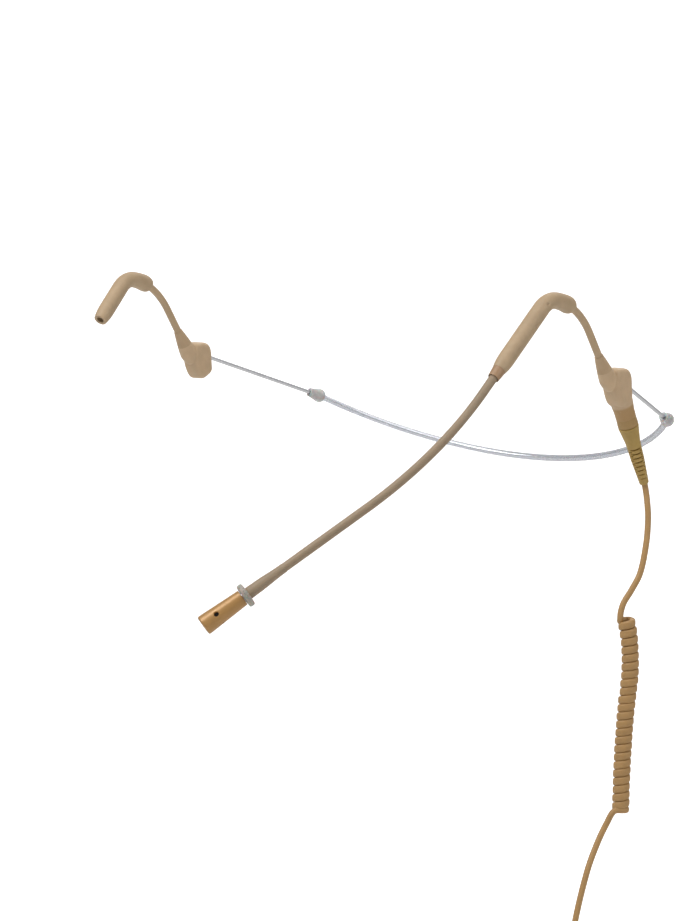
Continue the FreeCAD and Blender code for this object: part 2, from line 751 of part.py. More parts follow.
# ---------------------------------------------------------------- housing
def housing_block():
    """Rounded block whose outline lies in the plane square to X."""
    body = doc.addObject("PartDesign::Body", "housing_form")
    sketch = body.newObject("Sketcher::SketchObject", "housing_outline")
    plane = [feature for feature in body.Origin.OriginFeatures if feature.Role == "YZ_Plane"][0]
    sketch.AttachmentSupport = [(plane, "")]
    sketch.MapMode = "FlatFace"
    outline = [
        (-4.4, 6.1),
        (1.9, 6.1),
        (3.5, 3.8),
        (3.9, -1.2),
        (3.9, -3.4),
        (-0.4, -5.6),
        (-2.9, -3.9),
        (-4.7, 0.4),
    ]
    points = [Vector(y, z, 0) for y, z in outline]
    count = len(points)
    for index in range(count):
        sketch.addGeometry(Part.LineSegment(points[index], points[(index + 1) % count]), False)
    for index in range(count):
        sketch.addConstraint(Sketcher.Constraint("Coincident", index, 2, (index + 1) % count, 1))
        sketch.addConstraint(Sketcher.Constraint("DistanceX", -1, 1, index, 1, points[index].x))
        sketch.addConstraint(Sketcher.Constraint("DistanceY", -1, 1, index, 1, points[index].y))
    pad = body.newObject("PartDesign::Pad", "housing_pad")
    pad.Profile = sketch
    pad.Midplane = True
    bind(pad, Length=size("housing_width"))
    doc.recompute()
    fillet = body.newObject("PartDesign::Fillet", "housing_fillet")
    edges = ["Edge%d" % (index + 1) for index in range(len(pad.Shape.Edges))]
    fillet.Base = (pad, edges)
    bind(fillet, Radius=size("housing_edge"))
    doc.recompute()
    body.Placement = housing_frame()
    return body


def housing_tools():
    """What is taken out of the shell: cavity, neck bore, tube entry and wire exit."""
    frame = housing_frame()
    cavity = box("housing_cavity", (-2.3, -3.4, -1.4), (2.3, 2.3, 4.4), frame)
    neck = cylinder("housing_neck_bore", size("neck_bore"), 8.4, along(plug_frame(), size("socket_collar")))
    entry = cylinder("housing_tube_entry", size("hook_tube_radius") + size("seat_gap"), 8,
                     along(hook_end_frame(), -3.0))
    exit_hole = cylinder("housing_wire_exit", size("wire_radius") + 0.15, 6,
                         along(stub_frame(), stub_length() - 2))
    return [cavity, neck, entry, exit_hole]


def make_housing():
    neck = cylinder("housing_neck", size("neck_radius"), 8.0,
                    along(plug_frame(), size("socket_collar") + 0.05))
    envelope = fuse("housing_envelope", housing_block(), neck)
    shell = cut("housing_shell", envelope, *housing_tools())
    frame = housing_frame()
    outer_side = box("housing_outer_side", (0.01, -20, -20), (20, 20, 20), frame)
    inner_side = box("housing_inner_side", (-20, -20, -20), (-0.01, 20, 20), frame)
    halves = []
    for label, side in (("housing_outer", outer_side), ("housing_inner", inner_side)):
        half = doc.addObject("Part::Common", label)
        half.Base = shell
        half.Tool = side
        halves.append(half)
    return halves, envelope


def make_gland(envelope):
    """Cone moulded round the tube where it meets the housing."""
    frame = hook_end_frame()
    cone = doc.addObject("Part::Cone", "gland_cone")
    bind(cone, Radius1=size("gland_base_radius"), Radius2=size("gland_tip_radius"),
         Height=size("gland_length"))
    cone.Placement = frame
    bore = cylinder("gland_bore", size("hook_tube_radius") + size("seat_gap"), 30, along(frame, -5))
    return [cut("tube_gland", cone, envelope, bore)]


def make_wire_block():
    """Block in the housing that grips the hook wire and guides the neckband wire."""
    block = box("wire_block_blank", (-2.25, -3.35, -1.0), (2.25, 2.25, 4.3), housing_frame())
    hook_hole = cylinder("wire_block_hook_hole", size("hook_tube_radius") + size("seat_gap"), 12,
                         along(hook_end_frame(), -6.0))
    slide_hole = cylinder("wire_block_slide_hole", size("wire_radius") + size("running_gap"), 20,
                          along(stub_frame(), stub_length()))
    return [cut("wire_block", block, hook_hole, slide_hole)]


# ---------------------------------------------------------------- socket, plug and strain relief
def round_the_axis(label, radius, circle, length, frame, count):
    """Equal cylinders standing on a circle round the frame's Z."""
    pieces = []
    for index in range(count):
        angle = 2 * math.pi * index / count
        centre = Vector(float(circle) * math.cos(angle), float(circle) * math.sin(angle), 0)
        place = frame.multiply(FreeCAD.Placement(centre, FreeCAD.Rotation()))
        pieces.append(cylinder("%s_%d" % (label, index + 1), radius, length, place))
    return pieces


def tubes_round_the_axis(label, outer, inner, circle, length, frame, count):
    shells = round_the_axis(label + "_outside", outer, circle, length, frame, count)
    bores = round_the_axis(label + "_inside", inner, circle, length, frame, count)
    return [cut("%s_%d" % (label, index + 1), shells[index], bores[index]) for index in range(count)]


def make_socket():
    frame = plug_frame()
    collar_start = 0.15
    spigot = size("neck_bore") - size("seat_gap")
    collar = turned("cable_socket", [
        (size("socket_bore"), 0),
        (size("socket_radius") - 0.15, 0),
        (size("socket_radius"), 0.15),
        (size("socket_radius"), size("socket_collar") - collar_start),
        (spigot, size("socket_collar") - collar_start),
        (spigot, size("socket_depth")),
        (size("socket_bore"), size("socket_depth")),
    ], along(frame, collar_start))
    blank = cylinder("socket_insert_blank", size("socket_bore") - size("seat_gap"), 4.2, along(frame, 4.8))
    holes = round_the_axis("socket_insert_hole", 0.42, size("pin_circle"), 8, along(frame, 3), 3)
    insert = cut("socket_insert", blank, *holes)
    inner = size("pin_radius") + size("running_gap")
    contacts = tubes_round_the_axis("socket_contact", 0.4, inner, size("pin_circle"), 4.6,
                                    along(frame, 4.9), 3)
    board = ring("terminal_board", size("neck_bore") - 0.12, 0.5, 0.6, along(frame, 9.75))
    return [collar, insert, group("socket_contacts", contacts), board]


def make_plug():
    frame = plug_frame()
    back = 6.0
    shell = ring("plug_shell", size("plug_radius"), size("plug_bore"), size("plug_reach") + back,
                 along(frame, -back))
    blank = cylinder("plug_insert_blank", size("plug_bore") - size("seat_gap"), 4.6, along(frame, -1.4))
    holes = round_the_axis("plug_insert_hole", size("pin_radius") + 0.01, size("pin_circle"), 12,
                           along(frame, -5), 3)
    insert = cut("plug_insert", blank, *holes)
    pins = round_the_axis("plug_pin", size("pin_radius"), size("pin_circle"), 10.0, along(frame, -2.6), 3)
    return [shell, insert, group("plug_pins", pins)]


def make_boot():
    """Strain relief: a cone with short slots on alternate sides, so it bends with the lead."""
    length = size("boot_length")
    frame = along(plug_frame(), length * -1)
    bore = size("cable_radius") + 0.03
    seat = size("plug_radius") + size("seat_gap")
    blank = turned("boot_blank", [
        (bore, 0),
        (1.35, 0),
        (1.47, 0.5),
        (1.85, 6.2),
        (2.03, 9.4),
        (2.1, 11.6),
        (2.25, 14.2),
        (2.6, 16.6),
        (3.05, length - 0.3),
        (2.95, length),
        (seat, length),
        (seat, length - 6.1),
        (bore, length - 6.1),
    ], frame)
    slots = []
    turned_frame = frame.multiply(turned_by(-47))
    width = 0.42
    for index in range(15):
        height = 1.96 + index * 0.71
        across = index % 2 == 0
        for side in (-1, 1):
            low, high = (1.05, 4.0) if side > 0 else (-4.0, -1.05)
            corner = (low, -4.0, height) if across else (-4.0, low, height)
            far = (high, 4.0, height + width) if across else (4.0, high, height + width)
            slots.append(box("boot_slot_%d_%d" % (index, side + 1), corner, far, turned_frame))
    tool = fuse("boot_slots", *slots)
    return [cut("cable_boot", blank, tool)]


# ---------------------------------------------------------------- lead
def coil_axis(z):
    return Vector(number("coil_x"), number("coil_y"), z)


def coil_bottom():
    return number("coil_top") - number("coil_turns") * number("coil_pitch")


def make_cables():
    """Plain lead, coil and plain lead again. Each meets the next end to end with a hair's gap."""
    down = plug_frame().Rotation.multVec(Vector(0, 0, -1))
    boot_end = along(plug_frame(), -0.5 - number("boot_length")).Base
    entry = coil_axis(number("coil_top")) + Vector(0, -number("coil_radius"), 1.1)
    upper_points = [
        boot_end,
        Vector(79.1, 63.3, -32.0),
        Vector(79.8, 60.0, -44.5),
        Vector(80.0, 53.6, -53.6),
        entry,
    ]
    upper_path = spatial_path("cable_upper_path", upper_points, down, Vector(0, -0.6, -0.8),
                              straight_start=along(plug_frame(), -7.0).Base)
    upper = rod("cable_upper", size("cable_radius"), upper_path)
    leave = coil_axis(coil_bottom()) + Vector(0, -number("coil_radius"), -1.9)
    connector = Vector(number("connector_x"), number("connector_y"), number("connector_z"))
    lower_points = [
        leave,
        Vector(79.0, 44.4, -121.5),
        Vector(76.6, 37.2, -132.0),
        Vector(73.6, 31.6, -149.0),
        Vector(71.0, 27.4, -175.0),
        Vector(70.0, 26.0, -205.0),
        connector + Vector(0, 0, 0.5),
    ]
    lower_path = spatial_path("cable_lower_path", lower_points, Vector(0, -0.75, -0.66), Vector(0, 0, -1),
                              straight_end=connector - Vector(0, 0, 15))
    lower = rod("cable_lower", size("cable_radius"), lower_path)
    return [upper, make_coil(), lower]


def make_coil():
    height = number("coil_turns") * number("coil_pitch")
    helix = Part.makeHelix(number("coil_pitch"), height, number("coil_radius"))
    start = helix.Vertexes[0].Point
    profile = Part.Wire(Part.makeCircle(number("cable_radius"), start, Vector(0, 1, 0)))
    coil = doc.addObject("Part::Feature", "cable_coil")
    coil.Shape = Part.Wire(helix).makePipeShell([profile], True, True)
    coil.Placement = FreeCAD.Placement(coil_axis(coil_bottom()), FreeCAD.Rotation(Vector(0, 0, 1), 180))
    return coil


# ---------------------------------------------------------------- body-pack connector
def connector_frame():
    """Origin at the top of the strain relief, Z down towards the nose."""
    origin = Vector(number("connector_x"), number("connector_y"), number("connector_z"))
    return from_axes(origin, Vector(1, 0, 0), Vector(0, 0, -1))


def make_connector():
    frame = connector_frame()
    cable = size("cable_radius") + 0.03
    boot = turned("connector_boot", [
        (cable, 0),
        (1.7, 0),
        (2.6, 11.5),
        (3.9, 11.5),
        (3.9, 12.6),
        (cable, 12.6),
    ], frame)
    shell_radius = size("shell_radius")
    nut = turned("connector_nut", [
        (2.75, 0),
        (shell_radius - 0.9, 0),
        (shell_radius - 0.3, 0.8),
        (shell_radius - 0.3, 6.5),
        (4.0, 6.5),
        (4.0, 1.4),
        (2.75, 1.4),
    ], along(frame, 10.0))
    clamp = turned("cable_clamp", [
        (cable, 0),
        (3.9, 0),
        (3.9, 2.2),
        (2.6, 4.6),
        (cable, 4.6),
    ], along(frame, 12.7))
    nose = size("nose_radius")
    shell_length = 20.0
    shell_blank = turned("connector_shell_blank", [
        (4.05, 0),
        (shell_radius, 0),
        (shell_radius, shell_length - 1.0),
        (shell_radius - 0.5, shell_length),
        (nose, shell_length),
        (nose, size("nose_length") + shell_length - 0.4),
        (nose - 0.4, size("nose_length") + shell_length),
        (3.3, size("nose_length") + shell_length),
        (3.3, 4.0),
        (4.05, 4.0),
    ], along(frame, 16.6))
    window = box("latch_window", (2.0, -1.6, 24.0), (9.0, 1.6, 32.0), frame)
    shell = cut("connector_shell", shell_blank, window)
    insert_blank = cylinder("connector_insert_blank", 3.28, 12.0, along(frame, 33.9))
    holes = round_the_axis("connector_hole", 0.62, 1.7, 20, along(frame, 30), 4)
    insert = cut("connector_insert", insert_blank, *holes)
    contacts = tubes_round_the_axis("connector_contact", 0.6, 0.4, 1.7, 13.0, along(frame, 32.6), 4)
    button_blank = box("latch_button_blank", (3.5, -1.5, 24.15), (5.7, 1.5, 31.85), frame)
    button = doc.addObject("Part::Fillet", "latch_button")
    button.Base = button_blank
    doc.recompute()
    top_edges = [index + 1 for index, edge in enumerate(button_blank.Shape.Edges)
                 if edge.BoundBox.XMin > number("connector_x") + 5.6]
    button.Edges = [(index, 0.35, 0.35) for index in top_edges]
    leaf = box("latch_leaf", (2.3, -1.2, 22.0), (2.6, 1.2, 33.4), frame)
    return [boot, nut, clamp, shell, insert, group("connector_contacts", contacts), button, leaf]


# ---------------------------------------------------------------- neckband
def make_stub_wire():
    """Wire end that slides in the housing and turns in the bead, with a head that keeps it there."""
    length = size("wire_tail") + stub_length()
    return turned("stub_wire_left", [
        (0, 0),
        (0.85, 0),
        (0.85, 0.45),
        (size("wire_radius"), 0.45),
        (size("wire_radius"), length + 0.5),
        (0, length + 0.5),
    ], along(stub_frame(), -0.5))


def make_bead():
    """Bead with a snout round the wire end, a bush in the snout and a seat for the band."""
    frame = stub_frame()
    ball = sphere("bead_ball", size("bead_radius"), bead_centre())
    cone = doc.addObject("Part::Cone", "bead_snout")
    bind(cone, Radius1=1.85, Radius2=1.2, Height=size("snout_length") - 0.8)
    cone.Placement = along(frame, 0.8)
    bush_outer = 0.98
    bore = cylinder("bead_bush_bore", bush_outer + 0.01, 8, along(frame, -0.75))
    seat = doc.addObject("Part::Torus", "bead_band_seat")
    bind(seat, Radius1=band_radius(), Radius2=size("band_sleeve_radius") + 0.01, Angle3=8)
    seat.Placement = band_frame(band_inset() - 0.02)
    ball_and_snout = fuse("bead_solid", ball, cone)
    bead = cut("adjuster_bead_left", ball_and_snout, bore, seat)
    bush = ring("grip_bush_left", bush_outer, size("wire_radius") + size("running_gap"),
                size("snout_length") - 0.1, along(frame, 0.05))
    return bead, bush


def band_inset():
    """Angle from a bead's centre to the end of the band's sleeve, which sits in the bead."""
    return math.degrees(1.25 / band_radius())


def band_arc(label, radius):
    sweep_angle = 2 * (band_half_angle() - band_inset())
    arc = doc.addObject("Part::Torus", label)
    bind(arc, Radius1=band_radius(), Radius2=radius, Angle3=sweep_angle)
    arc.Placement = band_frame(band_inset())
    return arc


def make_band():
    sleeve = cut("band_sleeve", band_arc("band_outside", size("band_sleeve_radius")),
                 band_arc("band_inside", size("band_sleeve_bore")))
    wire = band_arc("band_wire", size("wire_radius"))
    return [sleeve, wire]


# ---------------------------------------------------------------- right ear
def make_right_block():
    """Plain moulded block that holds the right hook wire and guides the right wire end."""
    blank = mirrored("right_block_blank", housing_block_copy())
    hook_hole = mirrored("right_block_hook_hole", cylinder(
        "left_block_hook_hole", size("hook_tube_radius") + size("seat_gap"), 14,
        along(hook_end_frame(), -4.0)))
    slide_hole = mirrored("right_block_slide_hole", cylinder(
        "left_block_slide_hole", size("wire_radius") + size("running_gap"), 14.0,
        along(stub_frame(), stub_length() - 3)))
    return cut("right_block", blank, hook_hole, slide_hole)


def housing_block_copy():
    item = doc.addObject("Part::Feature", "left_block_blank")
    item.Shape = doc.getObject("housing_form").Shape
    return item


def make_right_side(tube, wire, gland):
    block = make_right_block()
    right_gland = mirrored("right_gland", gland)
    right_tube = mirrored("right_hook_tube", tube)
    right_wire = mirrored("right_hook_wire", wire)
    steps = [
        (14.0,),
        (size("bend_radius"), size("bend_angle") * -1),
        (size("ear_radius"), size("sleeve_wrap") * -1),
    ]
    outside_path = path("right_sleeve_path", shifted_hook(size("sleeve_straight") - 14.0), steps)
    inside_path = path("right_bore_path", shifted_hook(size("anchor_start")),
                       [(size("sleeve_straight") - size("anchor_start"),)] + steps[1:])
    left_hand = cut("right_sleeve_source", rod("right_sleeve_outside", size("sleeve_radius"), outside_path),
                    rod("right_sleeve_inside", size("hook_tube_radius") + size("seat_gap"), inside_path))
    sleeve = mirrored("right_hook_sleeve", left_hand)
    return [block, right_gland, right_tube, right_wire, sleeve]


# ---------------------------------------------------------------- build and write
def build():
    pieces = []
    pieces += make_boom_rear()
    pieces += make_boom_front()
    pieces += make_capsule()
    pieces += make_moisture_ring()
    pieces += make_cap()
    pieces += make_collar()
    hook_pieces = make_hook()
    pieces += hook_pieces
    pieces += make_anchor()
    halves, envelope = make_housing()
    pieces += halves
    gland = make_gland(envelope)[0]
    pieces.append(gland)
    pieces += make_wire_block()
    pieces += make_socket()
    pieces += make_plug()
    pieces += make_boot()
    pieces += make_cables()
    pieces += make_connector()
    stub = make_stub_wire()
    bead, bush = make_bead()
    pieces += [stub, bead, bush]
    pieces += make_band()
    pieces.append(mirrored("stub_wire_right", stub))
    pieces.append(mirrored("adjuster_bead_right", bead))
    pieces.append(mirrored("grip_bush_right", bush))
    pieces += make_right_side(hook_pieces[1], hook_pieces[2], gland)
    return pieces


def check(pieces):
    doc.recompute()
    for item in doc.Objects:
        if "Invalid" in item.State or "Error" in item.State:
            raise RuntimeError("%s did not compute: %s" % (item.Label, item.State))
    for item in pieces:
        if item.Shape.isNull() or not item.Shape.isValid() or not item.Shape.Solids:
            raise RuntimeError("%s has no valid solid" % item.Label)


def write(pieces):
    os.makedirs("parts", exist_ok=True)
    for item in pieces:
        item.Shape.exportStep(os.path.join("parts", item.Label + ".step"))


fill_sheet()
all_pieces = build()
check(all_pieces)
write(all_pieces)
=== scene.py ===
"""Looks of the headset microphone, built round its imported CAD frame. Local sizes are in millimetres."""
import json
import math
from math import pi, radians

import bmesh
import bpy
import numpy as np
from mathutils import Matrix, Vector
from numpy.linalg import norm


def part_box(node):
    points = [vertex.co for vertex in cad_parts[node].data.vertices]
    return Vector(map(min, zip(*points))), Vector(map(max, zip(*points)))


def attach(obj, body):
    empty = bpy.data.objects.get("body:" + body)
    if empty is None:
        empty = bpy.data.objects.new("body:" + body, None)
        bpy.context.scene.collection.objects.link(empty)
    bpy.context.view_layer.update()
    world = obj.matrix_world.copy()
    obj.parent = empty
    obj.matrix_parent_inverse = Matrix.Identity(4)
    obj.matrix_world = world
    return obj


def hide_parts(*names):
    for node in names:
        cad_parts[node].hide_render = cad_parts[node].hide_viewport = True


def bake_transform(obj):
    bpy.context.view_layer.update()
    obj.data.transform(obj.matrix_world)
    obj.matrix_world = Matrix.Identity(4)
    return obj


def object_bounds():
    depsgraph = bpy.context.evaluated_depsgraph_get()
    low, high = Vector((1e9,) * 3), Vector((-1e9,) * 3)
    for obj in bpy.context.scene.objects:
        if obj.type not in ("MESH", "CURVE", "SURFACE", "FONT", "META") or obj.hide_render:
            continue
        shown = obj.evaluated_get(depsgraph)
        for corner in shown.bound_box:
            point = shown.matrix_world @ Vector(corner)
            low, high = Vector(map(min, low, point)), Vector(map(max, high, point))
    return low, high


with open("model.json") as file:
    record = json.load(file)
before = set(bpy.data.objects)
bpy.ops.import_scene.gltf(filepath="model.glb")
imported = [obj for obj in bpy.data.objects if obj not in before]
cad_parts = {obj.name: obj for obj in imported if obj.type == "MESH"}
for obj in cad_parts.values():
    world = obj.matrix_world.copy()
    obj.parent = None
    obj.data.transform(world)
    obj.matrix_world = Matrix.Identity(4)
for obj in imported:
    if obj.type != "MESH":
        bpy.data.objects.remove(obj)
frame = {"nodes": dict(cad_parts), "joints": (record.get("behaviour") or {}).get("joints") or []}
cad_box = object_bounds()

SCENE = bpy.context.scene
MM = 0.001
UP = np.array((0.0, 0.0, 1.0))
OUTWARD = np.array((1.0, 0.0, 0.0))
GAP = 0.02


# ---- places taken from the frame
def unit(vector):
    return np.array(vector, float) / norm(vector)


JOINTS = {joint["name"]: joint for joint in frame["joints"]}


def joint_axis(name):
    return unit(JOINTS[name]["axis"])


def joint_place(name):
    return np.array(JOINTS[name]["pos_m"], float) / MM


def middle(node):
    """Centre of a node's box, which is on the axis of a piece that is alike on both sides."""
    low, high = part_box(node)
    return np.array((low + high) / 2) / MM


class Place:
    """A local frame: an origin and three square directions."""

    def __init__(self, origin, z, x_hint=OUTWARD):
        self.origin = np.array(origin, float)
        self.z = unit(z)
        self.x = unit(np.array(x_hint, float) - self.z * np.dot(x_hint, self.z))
        self.y = np.cross(self.z, self.x)

    def out(self, points):
        points = np.asarray(points, float)
        return self.origin + points[..., 0:1] * self.x + points[..., 1:2] * self.y + points[..., 2:3] * self.z

    def moved(self, distance):
        return Place(self.origin + self.z * distance, self.z, self.x)


MOUTH = joint_place("boom_turn")
FORWARD = joint_axis("boom_turn")
BACK = -FORWARD
KNUCKLE = joint_place("boom_bend")
REACH = joint_axis("cap_pull")
PLUG_DOWN = joint_axis("plug_pull")
STUB_AWAY = joint_axis("left_wire_slide")
BEAD = joint_place("left_band_turn")

HOOK_ROLL = radians(3.4)
HOOK_STRAIGHT, HOOK_BEND, HOOK_EAR, HOOK_DROP = 27.3, (8.0, -50.0), (24.0, -47.0), 18.0
upright = unit(UP - BACK * np.dot(UP, BACK))
outward = np.cross(BACK, upright)
HOOK_UP = upright * math.cos(HOOK_ROLL) + outward * math.sin(HOOK_ROLL)

INWARD = unit(REACH - FORWARD * np.dot(FORWARD, REACH))

capsule_place = Place(middle("moisture_ring") - REACH * 0.95, REACH, INWARD)
plug_place = Place(middle("plug_shell") + -PLUG_DOWN * 1.1, -PLUG_DOWN)
housing_centre = middle("wire_block") - np.array((0.0, -0.55, 1.65))
connector_place = Place(np.array(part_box("connector_boot")[1]) / MM * (0, 0, 1)
                        + middle("connector_boot") * (1, 1, 0), -UP)
stub_place = Place(BEAD, -STUB_AWAY, np.cross(UP, -STUB_AWAY))
STUB_LENGTH = norm(middle("stub_wire_left") - BEAD) * 2


# ---- shapes
def rounded(corners):
    """Outline through (radius, height, rounding) corners, with a curve in place of each rounded corner."""
    points = []
    for index, (r, z, size) in enumerate(corners):
        here = np.array((r, z), float)
        if size == 0 or index in (0, len(corners) - 1):
            points.append(here)
            continue
        before = np.array(corners[index - 1][:2], float) - here
        after = np.array(corners[index + 1][:2], float) - here
        first = here + unit(before) * min(size, norm(before) * 0.49)
        last = here + unit(after) * min(size, norm(after) * 0.49)
        for share in np.linspace(0, 1, 7):
            points.append(first * (1 - share) ** 2 + here * 2 * share * (1 - share) + last * share ** 2)
    return np.array(points)


def eased(knots, where):
    """Smooth curve through (place, value) knots, read at the given places."""
    xs, ys = np.array(knots, float).T
    slopes = np.gradient(ys, xs)
    index = np.clip(np.searchsorted(xs, where) - 1, 0, len(xs) - 2)
    width = xs[index + 1] - xs[index]
    t = np.clip((where - xs[index]) / width, 0, 1)
    return ((2 * t ** 3 - 3 * t ** 2 + 1) * ys[index] + (t ** 3 - 2 * t ** 2 + t) * width * slopes[index]
            + (3 * t ** 2 - 2 * t ** 3) * ys[index + 1] + (t ** 3 - t ** 2) * width * slopes[index + 1])


def trace(start, heading, side, steps, spacing):
    """Points along (length,) and (radius, angle) steps. A positive angle turns to the side."""
    point, heading, side = np.array(start, float), unit(heading), unit(side)
    points = [point]
    for step in steps:
        if len(step) == 1:
            count = max(2, int(step[0] / spacing))
            for share in np.linspace(0, 1, count + 1)[1:]:
                points.append(point + heading * step[0] * share)
            point = points[-1]
            continue
        radius, angle = math.copysign(step[0], step[1]), radians(step[1])
        centre = point + side * radius
        count = max(6, int(radius * angle / spacing))
        for turn in np.linspace(0, angle, count + 1)[1:]:
            points.append(centre + (heading * math.sin(turn) - side * math.cos(turn)) * radius)
        point = points[-1]
        heading, side = (heading * math.cos(angle) + side * math.sin(angle),
                         side * math.cos(angle) - heading * math.sin(angle))
    return np.array(points)


def bezier_path(points, first, last, count=14):
    """A smooth run from point to point, like the CAD's lead."""
    points = [np.array(point, float) for point in points]
    headings = [unit(first)] + [unit(b - a) for a, b in zip(points, points[2:])] + [unit(last)]
    run = [points[0]]
    for index, (a, b) in enumerate(zip(points, points[1:])):
        reach = norm(b - a) / 3
        c, d = a + headings[index] * reach, b - headings[index + 1] * reach
        for t in np.linspace(0, 1, count + 1)[1:]:
            run.append(a * (1 - t) ** 3 + c * 3 * t * (1 - t) ** 2 + d * 3 * t * t * (1 - t) + b * t ** 3)
    return np.array(run)


def distances(points):
    """How far along the path each point is."""
    return np.concatenate([[0], np.cumsum(norm(np.diff(points, axis=0), axis=1))])


def evenly(points, spacing):
    """The same path with points at even distances."""
    lengths = distances(points)
    where = np.linspace(0, lengths[-1], max(2, int(lengths[-1] / spacing)) + 1)
    return np.stack([np.interp(where, lengths, points[:, axis]) for axis in range(3)], axis=1)


def reworked(mesh, change):
    """Runs a change on the mesh's own points and faces, and points its faces outwards."""
    shell = bmesh.new()
    shell.from_mesh(mesh)
    change(shell)
    bmesh.ops.recalc_face_normals(shell, faces=shell.faces)
    shell.to_mesh(mesh)
    shell.free()


def smoothed(mesh, sharp=38.0):
    mesh.shade_smooth()
    mesh.set_sharp_from_angle(angle=radians(sharp))


def piece(name, points, faces, material, local=None, sharp=38.0, mirror=False):
    """Mesh object from millimetre points. The local coordinates follow the piece's own axis."""
    points = np.array(points, float) * MM
    if mirror:
        points[:, 0] *= -1
    mesh = bpy.data.meshes.new(name)
    mesh.from_pydata(points.tolist(), [], faces)
    if local is not None:
        attribute = mesh.attributes.new("local", "FLOAT_VECTOR", "POINT")
        attribute.data.foreach_set("vector", np.array(local, np.float32).ravel())
    reworked(mesh, lambda shell: None)
    smoothed(mesh, sharp)
    mesh.materials.append(material)
    item = bpy.data.objects.new(name, mesh)
    SCENE.collection.objects.link(item)
    return item


def skin(rings, closed=False):
    """Faces between rings of points. A ring of one point is a pole."""
    points, faces, starts = [], [], []
    for ring in rings:
        starts.append(len(points))
        points.extend(ring)
    pairs = [(index, index + 1) for index in range(len(rings) - 1)]
    if closed:
        pairs.append((len(rings) - 1, 0))
    for a, b in pairs:
        count = max(len(rings[a]), len(rings[b]))
        for k in range(count):
            n = (k + 1) % count
            loop = [starts[a] + k, starts[a] + n] if len(rings[a]) > 1 else [starts[a]]
            loop += [starts[b] + n, starts[b] + k] if len(rings[b]) > 1 else [starts[b]]
            faces.append(loop)
    return points, faces


def circle(count):
    turn = np.linspace(0, 2 * pi, count, endpoint=False)
    return np.cos(turn), np.sin(turn)


def ring(spokes, radius, height):
    """Points round the axis, or one point on it. The radius is a number, or one for each point."""
    if np.ndim(radius) == 0 and radius < 1e-6:
        return [(0.0, 0.0, height)]
    cos, sin = spokes
    return np.stack([cos * radius, sin * radius, np.full(len(cos), height)], axis=1)


def turned(name, outline, place, material, closed=False, sides=72, **more):
    """Piece turned from an outline of (radius, height) points."""
    spokes = circle(sides)
    local, faces = skin([ring(spokes, r, z) for r, z in outline], closed)
    return piece(name, place.out(local), faces, material, local=local, **more)


def tube(name, path, radius, material, bore=None, sides=32, x_hint=UP, **more):
    """Round rod or pipe along a path. The radius is a number, one per point, or one per point and side."""
    path = np.array(path, float)
    count = len(path)
    radius = np.asarray(radius, float)
    radii = np.full((count, sides), radius) if radius.ndim == 0 else radius
    radii = np.repeat(radii[:, None], sides, axis=1) if radii.ndim == 1 else radii
    tangents = np.gradient(path, axis=0)
    lengths = distances(path)
    cos, sin = circle(sides)
    hints = np.array(x_hint, float)
    across = hints if hints.ndim == 1 else hints[0]
    outside, inside, locals_out, locals_in = [], [], [], []
    for index in range(count):
        heading = unit(tangents[index])
        across = across if hints.ndim == 1 else hints[index]
        across = unit(across - heading * np.dot(across, heading))
        square = np.cross(heading, across)
        spokes = cos[:, None] * across + sin[:, None] * square
        outside.append(path[index] + spokes * radii[index][:, None])
        locals_out.append(ring((cos, sin), radii[index], lengths[index]))
        if bore is not None:
            inside.append(path[index] + spokes * bore)
            locals_in.append(ring((cos, sin), bore, lengths[index]))
    if bore is not None:
        locals_all = np.concatenate(locals_out + locals_in[::-1])
        points, faces = skin(outside + inside[::-1], closed=True)
    else:
        locals_all = np.concatenate([[(0, 0, 0)]] + locals_out + [[(0, 0, lengths[-1])]])
        points, faces = skin([path[:1]] + outside + [path[-1:]])
    return piece(name, points, faces, material, local=locals_all, **more)


def apply_modifiers(item):
    """Leaves the item with its modified mesh and no modifiers."""
    graph = bpy.context.evaluated_depsgraph_get()
    graph.update()
    mesh = bpy.data.meshes.new_from_object(item.evaluated_get(graph), depsgraph=graph)
    item.modifiers.clear()
    item.data = mesh


def carve(item, *cutters):
    """Takes the cutters out of the item, and deletes them."""
    for cutter in cutters:
        less = item.modifiers.new("carve", "BOOLEAN")
        less.operation = "DIFFERENCE"
        less.solver = "EXACT"
        less.object = cutter
        apply_modifiers(item)
        bpy.data.objects.remove(cutter)


def fit(item, body, slot, *nodes):
    """The piece rides on its body and stands for its CAD nodes. Its slot is not used."""
    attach(item, body)
    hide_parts(*nodes)


# ---- materials
def srgb(colour):
    """Linear colour from 0 to 255 screen values."""
    return tuple(((value / 255 + 0.055) / 1.055) ** 2.4 for value in colour) + (1.0,)


